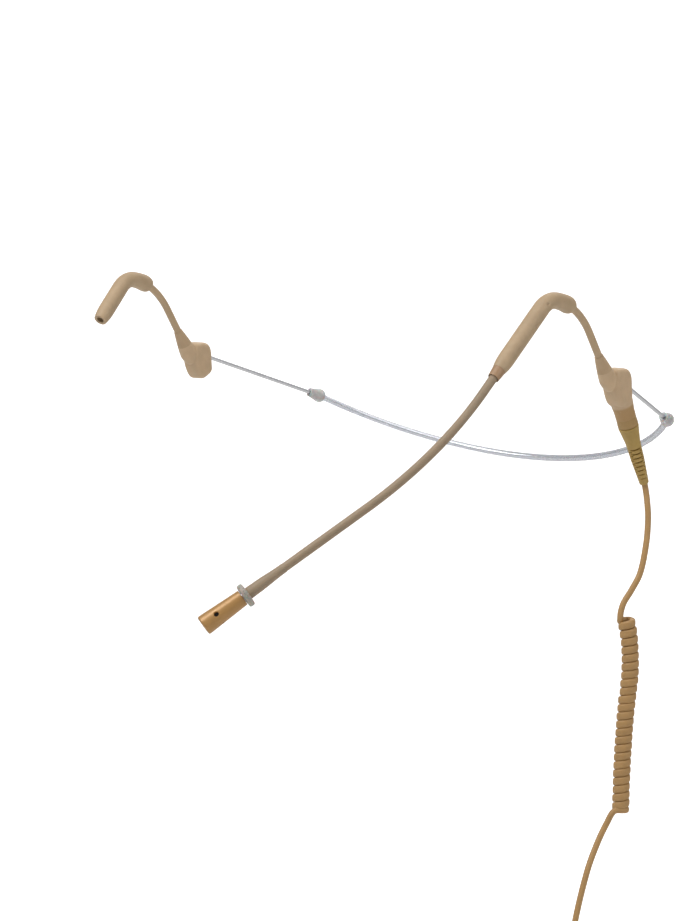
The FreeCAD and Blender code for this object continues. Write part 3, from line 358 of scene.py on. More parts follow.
class Nodes:
    """Short hand for the node tree of a material or world."""

    def __init__(self, owner):
        self.owner = owner
        owner.use_nodes = True
        self.tree = owner.node_tree
        self.tree.nodes.clear()

    def feed(self, node, key, value):
        """Links an output to the input, or sets its value."""
        if isinstance(value, bpy.types.NodeSocket):
            self.tree.links.new(value, node.inputs[key])
        else:
            node.inputs[key].default_value = value

    def add(self, kind, *feeds, **settings):
        """New node. Feeds go to its first inputs, and settings to inputs or attributes by name."""
        node = self.tree.nodes.new("ShaderNode" + kind)
        for key, value in settings.items():
            if key in node.inputs:
                self.feed(node, key, value)
            else:
                setattr(node, key, value)
        for index, value in enumerate(feeds):
            self.feed(node, index, value)
        return node

    def noise(self, vector, scale, detail=4.0, roughness=0.6, stretch=(1, 1, 1)):
        mapping = self.add("Mapping", vector, Scale=stretch)
        noise = self.add("TexNoise", mapping.outputs[0], Scale=scale, Detail=detail,
                         Roughness=roughness)
        return noise.outputs["Fac"]

    def span(self, value, low, high, start=0.3, end=0.7):
        return self.add("MapRange", value, start, end, low, high).outputs["Result"]

    def mix(self, factor, first, second, mode="MIX"):
        mixer = self.add("Mix", factor, data_type="RGBA", blend_type=mode)
        self.feed(mixer, 6, first)
        self.feed(mixer, 7, second)
        return mixer.outputs[2]

    def bump(self, height, distance):
        """Normal of a surface raised by a height, over a distance in millimetres."""
        return self.add("Bump", Height=height, Strength=1.0, Distance=distance * MM).outputs[0]

    def done(self, surface, kind="OutputMaterial"):
        self.add(kind, surface.outputs[0])
        return self.owner


def shade(colour, amount):
    return tuple(min(1.0, channel * amount) for channel in colour[:3]) + (1.0,)


def finish(name, colour, roughness, rough_spread=0.08, patch=0.06, patch_scale=0.25, grain=0.03,
           grain_scale=9.0, bump=0.01, bump_scale=7.0, streaks=0.0, edge_wear=0.12, along_piece=True,
           below=None, **shader):
    """Moulded, painted or drawn surface, with scales per millimetre. Patches are slow changes of
    colour, grain is fine mottling, streaks run along the piece, and edge wear lightens sharp corners.
    Below a plane, given by a point and its normal, the piece takes another colour."""
    nodes = Nodes(bpy.data.materials.new(name))
    colour = srgb(colour)
    if along_piece:
        place = nodes.add("Attribute", attribute_name="local").outputs["Vector"]
    else:
        metres = nodes.add("TexCoord").outputs["Object"]
        place = nodes.add("VectorMath", metres, operation="SCALE", Scale=1 / MM).outputs[0]
    patches = nodes.span(nodes.noise(place, patch_scale, 3.0), 0, 1)
    colour_out = nodes.mix(patches, shade(colour, 1 - patch), shade(colour, 1 + patch))
    if below:
        point, axis, low_colour = below
        offset = nodes.add("VectorMath", place, tuple(point), operation="SUBTRACT").outputs[0]
        height = nodes.add("VectorMath", offset, tuple(axis), operation="DOT_PRODUCT").outputs["Value"]
        colour_out = nodes.mix(nodes.span(height, 0, 1, -0.35, 0.35), srgb(low_colour), colour_out)
    mottle = nodes.span(nodes.noise(place, grain_scale, 5.0), 0, 1)
    speck = nodes.mix(1.0, colour_out, (1 - 2 * grain,) * 3 + (1,), "MULTIPLY")
    colour_out = nodes.mix(mottle, colour_out, speck)
    drawn = nodes.noise(place, 3.2, 3.0, stretch=(1, 1, 0.03))
    height = nodes.noise(place, bump_scale, 5.0)
    if streaks:
        colour_out = nodes.mix(nodes.span(drawn, 0, streaks), colour_out, shade(colour, 0.72))
        height = nodes.add("Math", height, drawn, operation="ADD").outputs[0]
    wear_and_hollow_shade = nodes.add("NewGeometry").outputs["Pointiness"]
    colour_out = nodes.mix(nodes.span(wear_and_hollow_shade, 0, edge_wear, 0.52, 0.6), colour_out, shade(colour, 1.35))
    # Painted shade: hollows and creases (low pointiness) are darkened to 0.55 of the colour.
    colour_out = nodes.mix(nodes.span(wear_and_hollow_shade, 0.35, 0, 0.40, 0.485), colour_out, shade(colour, 0.55))
    rough = nodes.span(nodes.noise(place, 1.3, 4.0), roughness - rough_spread, roughness + rough_spread)
    return nodes.done(nodes.add("BsdfPrincipled", colour_out, Roughness=rough,
                                Normal=nodes.bump(height, bump), **shader))


soft = {"Subsurface Weight": 0.12, "Subsurface Scale": 0.0009, "Subsurface Radius": (1.0, 0.7, 0.5)}
NECK_TOP = plug_place.origin + plug_place.z * 7.0
jacket = finish("boom_jacket", (153, 133, 108), 0.56, patch=0.07, grain=0.05, bump=0.012, streaks=0.18,
    **{"Subsurface Weight": 0.06, "Subsurface Scale": 0.0008})
sleeve_skin = finish("sleeve_silicone", (176, 151, 119), 0.52, patch=0.08, grain=0.03, bump=0.02,
    bump_scale=3.0, **soft)
collar_tan = finish("collar_tan", (162, 128, 95), 0.42, patch=0.05, bump=0.008, streaks=0.12)
capsule_tan = finish("capsule_paint", (174, 131, 74), 0.38, patch=0.05, grain=0.06, grain_scale=14.0,
    bump=0.006, bump_scale=16.0, Metallic=0.2,
    **{"Coat Weight": 0.2, "Coat Roughness": 0.35})
housing_skin = finish("housing_plastic", (195, 167, 133), 0.44, patch=0.06, grain=0.03, bump=0.01,
    bump_scale=5.0, along_piece=False,
    below=(NECK_TOP, plug_place.z, (172, 136, 88)), **soft)
gland_skin = finish("gland_plastic", (184, 156, 122), 0.46, patch=0.06, grain=0.03, bump=0.01, **soft)
socket_tan = finish("socket_tan", (164, 131, 80), 0.45, patch=0.06, bump=0.01, streaks=0.1)
boot_ochre = finish("boot_rubber", (174, 143, 76), 0.55, patch=0.10, grain=0.05, bump=0.015, **soft)
cable_beige = finish("cable_jacket", (173, 135, 84), 0.50, patch=0.08, grain=0.04, bump=0.012,
    patch_scale=0.12, **soft)
chrome = finish("drawn_chrome", (205, 205, 208), 0.14, rough_spread=0.04, patch=0.04, grain=0.02,
    bump=0.002, streaks=0.10, edge_wear=0.0, Metallic=1.0, Anisotropic=0.4)
copper = finish("copper_core_wire", (184, 115, 82), 0.3, patch=0.1, bump=0.004, edge_wear=0.1, Metallic=1.0)
lead_black = finish("thin_lead_jacket", (48, 48, 50), 0.5, patch=0.1, bump=0.01)
black_paint = finish("black_shell", (38, 38, 40), 0.34, patch=0.15, grain=0.1, bump=0.006, bump_scale=12.0,
    edge_wear=0.5, Metallic=0.4)
black_rubber = finish("black_rubber", (30, 30, 31), 0.62, patch=0.15, grain=0.1, bump=0.02)


def clear(name, tint, roughness, ripple, cloud):
    """See-through silicone or tubing with a rippled surface. Cloud is the share of milky surface."""
    nodes = Nodes(bpy.data.materials.new(name))
    tint = srgb(tint)
    place = nodes.add("Attribute", attribute_name="local").outputs["Vector"]
    smudge = nodes.noise(place, 0.8, 4.0)
    raised = nodes.bump(nodes.noise(place, 1.7, 3.0), ripple)
    colour = nodes.mix(nodes.span(smudge, 0, 1), tint, shade(tint, 0.9))
    glass = nodes.add("BsdfPrincipled", colour, IOR=1.42, Normal=raised,
                      Roughness=nodes.span(smudge, roughness * 0.7, roughness * 1.3),
                      **{"Transmission Weight": 1.0})
    milk = nodes.add("BsdfPrincipled", tint, Roughness=0.45, Normal=raised,
                     **{"Subsurface Weight": 0.6, "Subsurface Scale": 0.002})
    share = nodes.span(smudge, cloud * 0.8, cloud * 1.2)
    return nodes.done(nodes.add("MixShader", share, glass.outputs[0], milk.outputs[0]))


cloudy = clear("cloudy_silicone", (172, 168, 158), 0.30, 0.02, cloud=0.75)
bead_clear = clear("bead_silicone", (205, 205, 205), 0.22, 0.02, cloud=0.6)
clear_tube = clear("clear_tubing", (214, 216, 220), 0.05, 0.001, cloud=0.06)


# ---- boom
BOOM_RADIUS, BOOM_BORE = 1.25, 0.8
BOOM_TAIL = 19.5
FRONT_LENGTH = 39.7
TIP_LENGTH, TIP_NOSE, TIP_SOCKET, TIP_RADIUS = 12.0, 1.85, 4.2, 1.72


def boom_path(front, side_shift=0.0):
    """Centre line from the tail in the sleeve, through the mouth and the cheek's curve, to the front."""
    angle = math.acos(np.dot(FORWARD, REACH))
    offset = KNUCKLE - MOUTH
    radius = np.dot(offset, INWARD) / (1 - math.cos(angle))
    lead_in = np.dot(offset, FORWARD) - radius * math.sin(angle)
    start = MOUTH - FORWARD * BOOM_TAIL + INWARD * side_shift
    steps = [(BOOM_TAIL + lead_in,), (radius - side_shift, math.degrees(angle)), (front,)]
    return trace(start, FORWARD, INWARD, steps, 0.6)


def blend_boom(item, slot, *nodes):
    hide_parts(*nodes)
    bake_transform(item)


def make_boom():
    tube_end = FRONT_LENGTH - TIP_SOCKET - 0.1
    path = evenly(boom_path(tube_end), 0.7)
    marks = np.arange(0, len(path) + 12, 12)
    wave = np.interp(np.arange(len(path)), marks, np.random.default_rng(4).normal(0, 0.012, len(marks)))
    item = tube("boom_jacket", path, BOOM_RADIUS + wave, jacket, bore=BOOM_BORE, sides=40)
    blend_boom(item, "beige_tube", "boom_tube_rear", "boom_tube_front")
    core = tube("boom_core", boom_path(tube_end, -0.42), 0.25, copper, sides=14)
    blend_boom(core, "copper_core", "boom_core_rear", "boom_core_front")
    lead = tube("boom_lead", boom_path(FRONT_LENGTH + 3.0, 0.38), 0.35, lead_black, sides=16)
    blend_boom(lead, "lead_jacket", "boom_lead_rear", "boom_lead_front")
    grip = BOOM_RADIUS + GAP
    step = TIP_LENGTH - TIP_SOCKET
    full = TIP_LENGTH - 0.5
    end = TIP_LENGTH + TIP_NOSE
    heights = np.linspace(0, full, 26)
    swell = eased([(0, grip + 0.05), (2.5, grip + 0.10), (7.0, 1.62), (full, TIP_RADIUS)], heights)
    nose = rounded([(TIP_RADIUS, full, 0), (TIP_RADIUS, end, 0.12), (1.52, end, 0)])[1:]
    outline = np.vstack([(grip, 0.0), np.stack([swell, heights], axis=1), nose, (1.52, step), (grip, step)])
    place = capsule_place.moved(-TIP_LENGTH)
    tip = turned("boom_tip_moulding", outline, place, jacket, closed=True, sides=64)
    fit(tip, "boom_front", "beige_tube", "boom_tip")


# ---- capsule
CAP_START, CAP_LENGTH, CAP_BASE, CAP_TIP = 2.0, 13.2, 2.3, 2.85
CAP_BORE, CAP_CHAMBER, CAP_WALL, CAP_MOUTH = 1.55, 1.95, 1.2, 6.4
PORT_RADIUS, PORT_SETBACK, PORT_TURN = 0.7, 4.7, 42.0
CAP_EDGE = 0.75


def cap_radius(height):
    return CAP_BASE + (CAP_TIP - CAP_BASE) * np.clip(height / (CAP_LENGTH - 1.0), 0, 1)


def port_patch(index, columns, half_height):
    """A quarter of the cap's wall round one port: rings from the port's rim out to a four-sided border."""
    middle_turn = radians(90.0 * index - PORT_TURN)
    centre_z = CAP_LENGTH - PORT_SETBACK
    side = np.linspace(-1, 1, columns + 1)[:-1]
    border = [(s, -1.0) for s in side] + [(1.0, s) for s in side] + [(-s, 1.0) for s in side]
    border += [(-1.0, -s) for s in side]
    square = np.array(border) * (pi / 4, half_height)
    mean_radius = cap_radius(centre_z)
    direction = np.stack([square[:, 0] * mean_radius, square[:, 1]], axis=1)
    direction /= norm(direction, axis=1)[:, None]
    rings = []
    chamfer = 0.12
    bottom = CAP_CHAMBER - CAP_TIP - 0.3
    for depth, size in ((bottom, 0.0), (-0.35, 0.0), (-chamfer, 0.0), (-chamfer * 0.3, 0.3), (0.0, 1.0)):
        rim = direction * (PORT_RADIUS + chamfer * size)
        rings.append((np.stack([rim[:, 0] / mean_radius, rim[:, 1]], axis=1), depth))
    rim = rings[-1][0]
    for share in (0.06, 0.2, 0.4, 0.65, 1.0):
        rings.append((rim * (1 - share) + square * share, 0.0))
    points = []
    for flat, depth in rings:
        turn = middle_turn + flat[:, 0]
        height = centre_z + flat[:, 1]
        radius = cap_radius(height) + depth
        points.append(np.stack([np.cos(turn) * radius, np.sin(turn) * radius, height], axis=1))
    return skin(points)


def make_cap():
    """Tapered cap with four round ports. Its wall round the ports is a patchwork, joined to turned ends."""
    columns, half_height = 16, 1.9
    turn = np.linspace(0, 2 * pi, columns * 4, endpoint=False) + radians(45.0 - PORT_TURN)
    spokes = np.cos(turn), np.sin(turn)
    top = CAP_LENGTH
    centre_z = top - PORT_SETBACK
    low, high = centre_z - half_height, centre_z + half_height
    base = [(CAP_CHAMBER, low - 0.2), (CAP_CHAMBER, CAP_MOUTH), (CAP_BORE, CAP_MOUTH)]
    foot = [(CAP_BORE, CAP_MOUTH, 0), (CAP_BORE, 0, 0.12), (CAP_BASE, 0, 0.16), (CAP_BASE + 0.1, 1.4, 0)]
    base += rounded(foot)[1:-1].tolist()
    base += [(cap_radius(height), height) for height in np.linspace(0.4, low, 14)]
    end = [(cap_radius(height), height) for height in np.linspace(high, top - CAP_EDGE * 1.6, 5)]
    end += rounded([(CAP_TIP, top - CAP_EDGE * 1.5, 0), (CAP_TIP, top, CAP_EDGE),
                    (CAP_TIP - 1.2, top, 0)])[1:].tolist()
    end += rounded([(1.5, top, 0), (1.2, top, 0.12), (1.05, top - 0.18, 0.12),
                    (0, top - 0.18, 0)])[1:].tolist()
    roof = top - CAP_WALL
    inner = [(0, roof), (CAP_CHAMBER - 0.1, roof), (CAP_CHAMBER, high - 0.2)]
    parts = [skin([ring(spokes, r, z) for r, z in outline]) for outline in (base, end)]
    parts += [port_patch(index, columns, half_height) for index in range(4)]
    parts.append(skin([ring(spokes, r, z) for r, z in inner]))
    points, faces = [], []
    for part_points, part_faces in parts:
        start = len(points)
        points.extend(part_points)
        faces.extend([[start + index for index in face] for face in part_faces])
    item = piece("capsule_cap_body", capsule_place.moved(CAP_START).out(points), faces, capsule_tan,
                 local=points, sharp=42)
    reworked(item.data, lambda shell: bmesh.ops.remove_doubles(shell, verts=shell.verts, dist=0.00001))
    smoothed(item.data, 42)
    fit(item, "cap", "capsule_tan", "capsule_cap")


def make_moisture_ring():
    outline = rounded([(1.78, 0.9, 0), (1.78, 0, 0.15), (3.35, 0.08, 0.35), (3.5, 0.9, 0.5),
                       (3.35, 1.72, 0.35), (1.78, 1.8, 0.15), (1.78, 0.92, 0)])
    item = turned("moisture_ring_silicone", outline, capsule_place.moved(0.05), cloudy, closed=True, sides=96)
    fit(item, "sweat_ring", "clear_silicone", "moisture_ring")


# ---- ear hook
SLEEVE_START, SLEEVE_RADIUS, SLEEVE_WRAP, TUBE_RADIUS = 3.2, 2.45, 18.0, 1.1
TUBE_BORE = TUBE_RADIUS + GAP
LINING_RADIUS, LINING_END, COLLAR_LENGTH = 1.92, 26.5, 5.0
GLAND_LENGTH, GLAND_TIP, GLAND_BASE, GLAND_JOIN = 9.5, 1.3, 2.7, 4.6


def hook_path(start=0.0, wrap=None, drop=None):
    """The hook's centre line from a point on its straight part."""
    steps = [(HOOK_STRAIGHT - start,), HOOK_BEND, (HOOK_EAR[0], -wrap) if wrap else HOOK_EAR]
    if drop:
        steps.append((drop,))
    return trace(MOUTH + BACK * start, BACK, HOOK_UP, steps, 0.3)


def dimple(angles, lengths, at_angle, at_length, size, depth):
    """Small pit in a tube's surface."""
    around = np.angle(np.exp(1j * (angles[None, :] - at_angle))) * SLEEVE_RADIUS
    ahead = lengths[:, None] - at_length
    return -depth * np.exp(-(around ** 2 + ahead ** 2) / (2 * size ** 2))


def make_sleeve(name, start, body, node, mirror=False):
    """Soft sleeve over the ear: a rounded shoulder, creases inside the bend and a slanting thin end."""
    path = evenly(hook_path(start, SLEEVE_WRAP), 0.16)
    sides = 96
    total = distances(path)[-1]
    lengths = np.linspace(0, total, len(path))
    angles = np.linspace(0, 2 * pi, sides, endpoint=False)
    radii = np.full((len(path), sides), SLEEVE_RADIUS)
    shoulder = np.clip(lengths / 4.5, 0, 1)
    thin = np.clip((lengths - (total - 2.0)) / 2.0, 0, 1)
    close = np.clip((lengths - (total - 0.6)) / 0.6, 0, 1)
    radii += (0.10 * np.exp(-((lengths - total + 2.6) / 1.6) ** 2) - 0.50 * (1 - shoulder) ** 2.2
              - 0.45 * thin ** 2 - 0.55 * (1 - np.sqrt(1 - close ** 2)))[:, None]
    bend = HOOK_STRAIGHT - start + HOOK_BEND[0] * radians(-HOOK_BEND[1]) / 2
    inside = np.clip(-np.cos(angles), 0, 1) ** 1.5
    for offset, depth in ((-2.6, 0.05), (-1.2, 0.08), (0.3, 0.10), (1.9, 0.07), (3.3, 0.04)):
        crease = np.exp(-((lengths - bend - offset) / 0.28) ** 2)
        radii -= depth * crease[:, None] * inside
    flattened = np.exp(-((lengths - bend) / 4.5) ** 2)[:, None]
    radii += flattened * (0.06 * np.abs(np.sin(angles)) - 0.12 * np.abs(np.cos(angles)))
    if not mirror:
        radii += dimple(angles, lengths, radians(69), bend - 2.3, 0.26, 0.35)
        radii += dimple(angles, lengths, radians(96), bend - 10.1, 0.22, 0.28)
    bore = TUBE_BORE if mirror else LINING_RADIUS
    item = tube(name, path, radii, sleeve_skin, bore, sides, x_hint=HOOK_UP, mirror=mirror, sharp=60)
    fit(item, body, "beige_sleeve", node)


def make_collar():
    end = COLLAR_LENGTH
    outline = rounded([(1.34, 2.0, 0), (1.34, 1.3, 0.2), (1.51, 0.0, 0.04), (1.64, 0.0, 0.05),
                       (1.75, 1.2, 0.5), (1.88, 2.6, 0.3), (1.9, end, 0.05), (1.34, end, 0.05),
                       (1.34, 2.9, 0)])
    outline = np.vstack([outline, (1.57, 2.9), (1.57, 2.0)])
    item = turned("collar", outline, Place(MOUTH, BACK), collar_tan, closed=True, sides=80)
    fit(item, "ear_hook", "collar_tan", "hook_collar")


def make_hook_tube(name, body, node, mirror=False):
    path = evenly(hook_path(LINING_END + 0.1, None, HOOK_DROP), 0.3)
    item = tube(name, path, TUBE_RADIUS, gland_skin, bore=0.95, sides=36, x_hint=HOOK_UP, mirror=mirror)
    fit(item, body, "beige_sleeve", node)


def hook_end_place():
    path = hook_path(LINING_END, None, HOOK_DROP)
    return Place(path[-1], path[-2] - path[-1])


def gland_radius(heights):
    """The cone's radius. It starts wide, where it flows into the moulding."""
    share = heights / GLAND_LENGTH
    return GLAND_BASE + (GLAND_TIP - GLAND_BASE) * share + 0.15 * np.sin(share * pi)


def make_gland(name, body, node, mirror=False):
    """Thin end of the flared cone from the tube into the housing."""
    start = GLAND_JOIN - 0.6
    heights = np.linspace(start, GLAND_LENGTH, 24)
    lip = GLAND_LENGTH + 0.1
    end = rounded([(GLAND_TIP, GLAND_LENGTH, 0), (GLAND_TIP, lip, 0.1), (TUBE_BORE, lip, 0)])[1:]
    outline = np.vstack([np.stack([gland_radius(heights), heights], axis=1), end, (TUBE_BORE, start)])
    item = turned(name, outline, hook_end_place(), gland_skin, closed=True, sides=72, mirror=mirror)
    fit(item, body, "housing_beige", node)


# ---- housing
HOUSING_WIDTH = 6.0
HOUSING_OUTLINE = [(-4.4, 6.1, 1.3), (1.9, 6.1, 2.4), (3.5, 3.8, 1.6), (3.9, -1.2, 1.5), (3.9, -3.4, 1.2),
                   (-0.4, -5.6, 2.0), (-2.6, -3.9, 2.0), (-4.6, 0.4, 2.4)]
NECK_RADIUS, NECK_BORE, SOCKET_COLLAR, SOCKET_RADIUS = 2.98, 2.42, 3.1, 3.02


def housing_blank(name, with_neck, mirror=False):
    """Block, root of the cone and neck, melted together as one soft moulded form."""
    corners = [HOUSING_OUTLINE[-1]] + HOUSING_OUTLINE + [HOUSING_OUTLINE[0]]
    outline = rounded(corners)[1:-1]
    half = HOUSING_WIDTH / 2
    edge = 1.5
    middle_point = outline.mean(axis=0)
    spread = outline - middle_point
    reach = norm(spread, axis=1)[:, None]
    rings = [[(-half, *middle_point)]]
    turns = np.linspace(0, pi / 2, 8)
    for side, turn in [(-1, turn) for turn in turns[::-1]] + [(1, turn) for turn in turns]:
        shrunk = middle_point + spread * (1 - edge * (1 - math.cos(turn)) / reach)
        across = side * (half - edge + edge * math.sin(turn))
        rings.append(np.insert(shrunk, 0, across, axis=1))
    points, faces = skin(rings + [[(half, *middle_point)]])
    item = piece(name, np.array(points) + housing_centre, faces, housing_skin)
    heights = np.linspace(0.9, GLAND_JOIN, 12)
    root = [(0, -3.0), (1.3, -2.7), (2.1, -1.6), (2.5, -0.2)]
    root += list(zip(gland_radius(heights) + 0.03, heights)) + [(0, GLAND_JOIN)]
    joined = [turned("gland_root", root, hook_end_place(), housing_skin)]
    if with_neck:
        neck = rounded([(0, -0.35, 0), (NECK_RADIUS, -0.35, 0.05), (NECK_RADIUS, 2.0, 1.5), (3.35, 4.6, 1.5),
                        (3.2, 8.4, 1.5), (0, 8.4, 0)])
        joined.append(turned("neck", neck, plug_place.moved(SOCKET_COLLAR + 0.05), housing_skin))
    both = bmesh.new()
    both.from_mesh(item.data)
    for part in joined:
        both.from_mesh(part.data)
        bpy.data.objects.remove(part)
    both.to_mesh(item.data)
    both.free()
    remesh = item.modifiers.new("melt", "REMESH")
    remesh.mode = "VOXEL"
    remesh.voxel_size = 0.16 * MM
    smooth = item.modifiers.new("soften", "SMOOTH")
    smooth.factor = 0.5
    smooth.iterations = 10
    apply_modifiers(item)
    if mirror:
        item.data.transform(((-1, 0, 0, 0), (0, 1, 0, 0), (0, 0, 1, 0), (0, 0, 0, 1)))
        item.data.flip_normals()
    return item


def box_cutter(low, high, origin):
    (left, front, bottom), (right, rear, top) = np.array(low) + origin, np.array(high) + origin
    centre = ((left + right) / 2, (front + rear) / 2)
    sheets = [[(left, front, z), (right, front, z), (right, rear, z), (left, rear, z)] for z in (bottom, top)]
    points, faces = skin([[(*centre, bottom)], *sheets, [(*centre, top)]])
    return piece("cutter", points, faces, housing_skin)


def round_cutter(radius, start, end, place, mirror=False):
    return turned("cutter", [(0, start), (radius, start), (radius, end), (0, end)], place, housing_skin,
                  sides=40, mirror=mirror)


def make_housing():
    """Two hollow halves that meet in a fine line round the head side and the outside."""
    whole = housing_blank("housing_outer_shell", True)
    carve(whole,
          box_cutter((-2.3, -3.4, -1.4), (2.3, 2.3, 4.4), housing_centre),
          round_cutter(NECK_BORE, -0.8, 8.3, plug_place.moved(SOCKET_COLLAR)),
          round_cutter(TUBE_BORE, -3.0, 12.0, hook_end_place()),
          round_cutter(0.75, STUB_LENGTH - 12.0, STUB_LENGTH, stub_place))
    inner = whole.copy()
    inner.data = whole.data.copy()
    inner.name = "housing_inner_shell"
    SCENE.collection.objects.link(inner)
    seam = 0.012

    def halved(shell):
        parts = shell.verts[:] + shell.edges[:] + shell.faces[:]
        cut_at = Vector(((housing_centre[0] + side * seam) * MM, 0, 0))
        found = bmesh.ops.bisect_plane(shell, geom=parts, dist=1e-7, plane_co=cut_at,
                                       plane_no=Vector((-side, 0, 0)), clear_outer=True)
        rim = [part for part in found["geom_cut"] if isinstance(part, bmesh.types.BMEdge)]
        bmesh.ops.triangle_fill(shell, edges=rim, use_beauty=True)

    for item, side in ((whole, 1), (inner, -1)):
        reworked(item.data, halved)
        smoothed(item.data, 45)
    fit(whole, "ear_hook", "housing_beige", "housing_outer")
    fit(inner, "ear_hook", "housing_beige", "housing_inner")


def make_right_block():
    item = housing_blank("right_block_moulding", False, mirror=True)
    carve(item, round_cutter(TUBE_BORE, -2.0, 12.0, hook_end_place(), mirror=True),
          round_cutter(0.66, STUB_LENGTH - 10.5, STUB_LENGTH + 0.8, stub_place, mirror=True))
    smoothed(item.data, 45)
    fit(item, "right_hook", "housing_beige", "right_block")


# ---- socket and strain relief
BOOT_LENGTH = 19.4
BOOT_TURN = radians(-47.0)
BOOT_PROFILE = [(0.0, 1.36), (2.2, 1.53), (4.7, 1.72), (8.6, 2.0), (11.3, 2.08), (13.9, 2.22), (16.4, 2.58),
                (18.3, 2.88), (19.1, 3.02)]
CABLE_RADIUS = 0.9


def make_socket():
    wide = SOCKET_RADIUS
    outline = rounded([(1.9, 4.0, 0), (1.9, 0, 0.1), (wide, 0, 0.28), (wide, 1.0, 0.02),
                       (wide - 0.04, 1.12, 0.02), (wide - 0.09, 2.95, 0.04), (2.4, 2.95, 0.02),
                       (2.4, 8.85, 0.05), (1.9, 8.85, 0.05), (1.9, 4.1, 0)])
    item = turned("cable_socket_moulding", outline, plug_place.moved(0.15), socket_tan, closed=True, sides=88)
    fit(item, "ear_hook", "collar_tan", "cable_socket")


def make_boot():
    """Strain relief with short slots on alternate sides."""
    sides = 96
    first, spacing, slot_width, floor = 1.99, 0.71, 0.36, 1.14
    edges = [first + index * spacing for index in range(15)]
    heights = set(np.round(np.linspace(0, BOOT_LENGTH, 120), 3))
    for edge in edges:
        for corner in (edge, edge + slot_width):
            heights |= {round(corner + offset, 3) for offset in (-0.05, 0.0, 0.05)}
    heights = np.array(sorted(heights))
    radii = np.repeat(eased(BOOT_PROFILE, heights)[:, None], sides, axis=1)
    spokes = circle(sides)
    for index, edge in enumerate(edges):
        far = edge + slot_width
        depth = np.interp(heights, [edge - 0.05, edge + 0.05, far - 0.05, far + 0.05], [0, 1, 1, 0])[:, None]
        flat = np.minimum(radii, floor / np.maximum(np.abs(spokes[index % 2]), 0.05))
        radii = radii * (1 - depth) + flat * depth
    start = np.clip(heights / 0.2, 0, 1)
    end = np.clip((heights - (BOOT_LENGTH - 0.3)) / 0.3, 0, 1)
    radii -= (0.25 * (1 - np.sqrt(1 - end ** 2)) + 0.12 * (1 - start) ** 2)[:, None]
    rings = [ring(spokes, r, height) for r, height in zip(radii, heights)]
    socket = BOOT_LENGTH - 6.1
    bore = CABLE_RADIUS + 0.03
    for radius, height in ((1.87, BOOT_LENGTH), (1.87, socket), (bore, socket), (bore, 0.0)):
        rings.append(ring(spokes, radius, height))
    local, faces = skin(rings, closed=True)
    turned_x = plug_place.x * math.cos(BOOT_TURN) + plug_place.y * math.sin(BOOT_TURN)
    place = Place(plug_place.origin - plug_place.z * BOOT_LENGTH, plug_place.z, turned_x)
    item = piece("strain_relief_boot", place.out(local), faces, boot_ochre, local=local, sharp=50)
    fit(item, "plug", "boot_ochre", "cable_boot")


# ---- lead
COIL_TURNS, COIL_LENGTH, COIL_RADIUS = 23.75, 55.2, 1.66
COIL_START = radians(-142.0)
TURN_HALF_WIDTH, TURN_HALF_HEIGHT, TURN_SQUARENESS = 0.90, 1.175, 3.2
COIL_BOW = [(0.0, -0.1), (0.08, 0.75), (0.24, 1.3), (0.5, 0.0), (0.8, -0.95), (1.0, -1.2)]
SIDEWAYS = np.array((0.788, 0.616, 0.0))
REARWARDS = np.array((-0.616, 0.788, 0.0))
UPPER_RUN = [(6.6, 0.80, 31.9), (6.6, 0.68, 27.3), (5.9, 0.50, 21.1), (4.15, 0.30, 13.5), (1.6, 0.16, 8.8),
             (-0.65, 0.06, 5.3), (-1.55, 0.0, 2.6)]
LOWER_RUN = [(-3.3, -1.9, -55.5), (-5.2, -2.3, -58.6), (-7.9, -3.4, -64.0), (-11.2, -6.5, -72.2),
             (-15.0, -9.5, -87.5), (-19.5, -12.3, -115.5), (-22.3, -13.2, -145.5)]


def carried_hints(path, known, first):
    """A sideways direction for each point: known ones from the first on, carried along smoothly elsewhere."""
    tangents = np.gradient(path, axis=0)
    hints = np.zeros_like(path)
    hints[first:first + len(known)] = known
    for index in [*range(first - 1, -1, -1), *range(first + len(known), len(path))]:
        near = hints[index + 1] if index < first else hints[index - 1]
        heading = unit(tangents[index])
        hints[index] = unit(near - heading * np.dot(near, heading))
    return hints


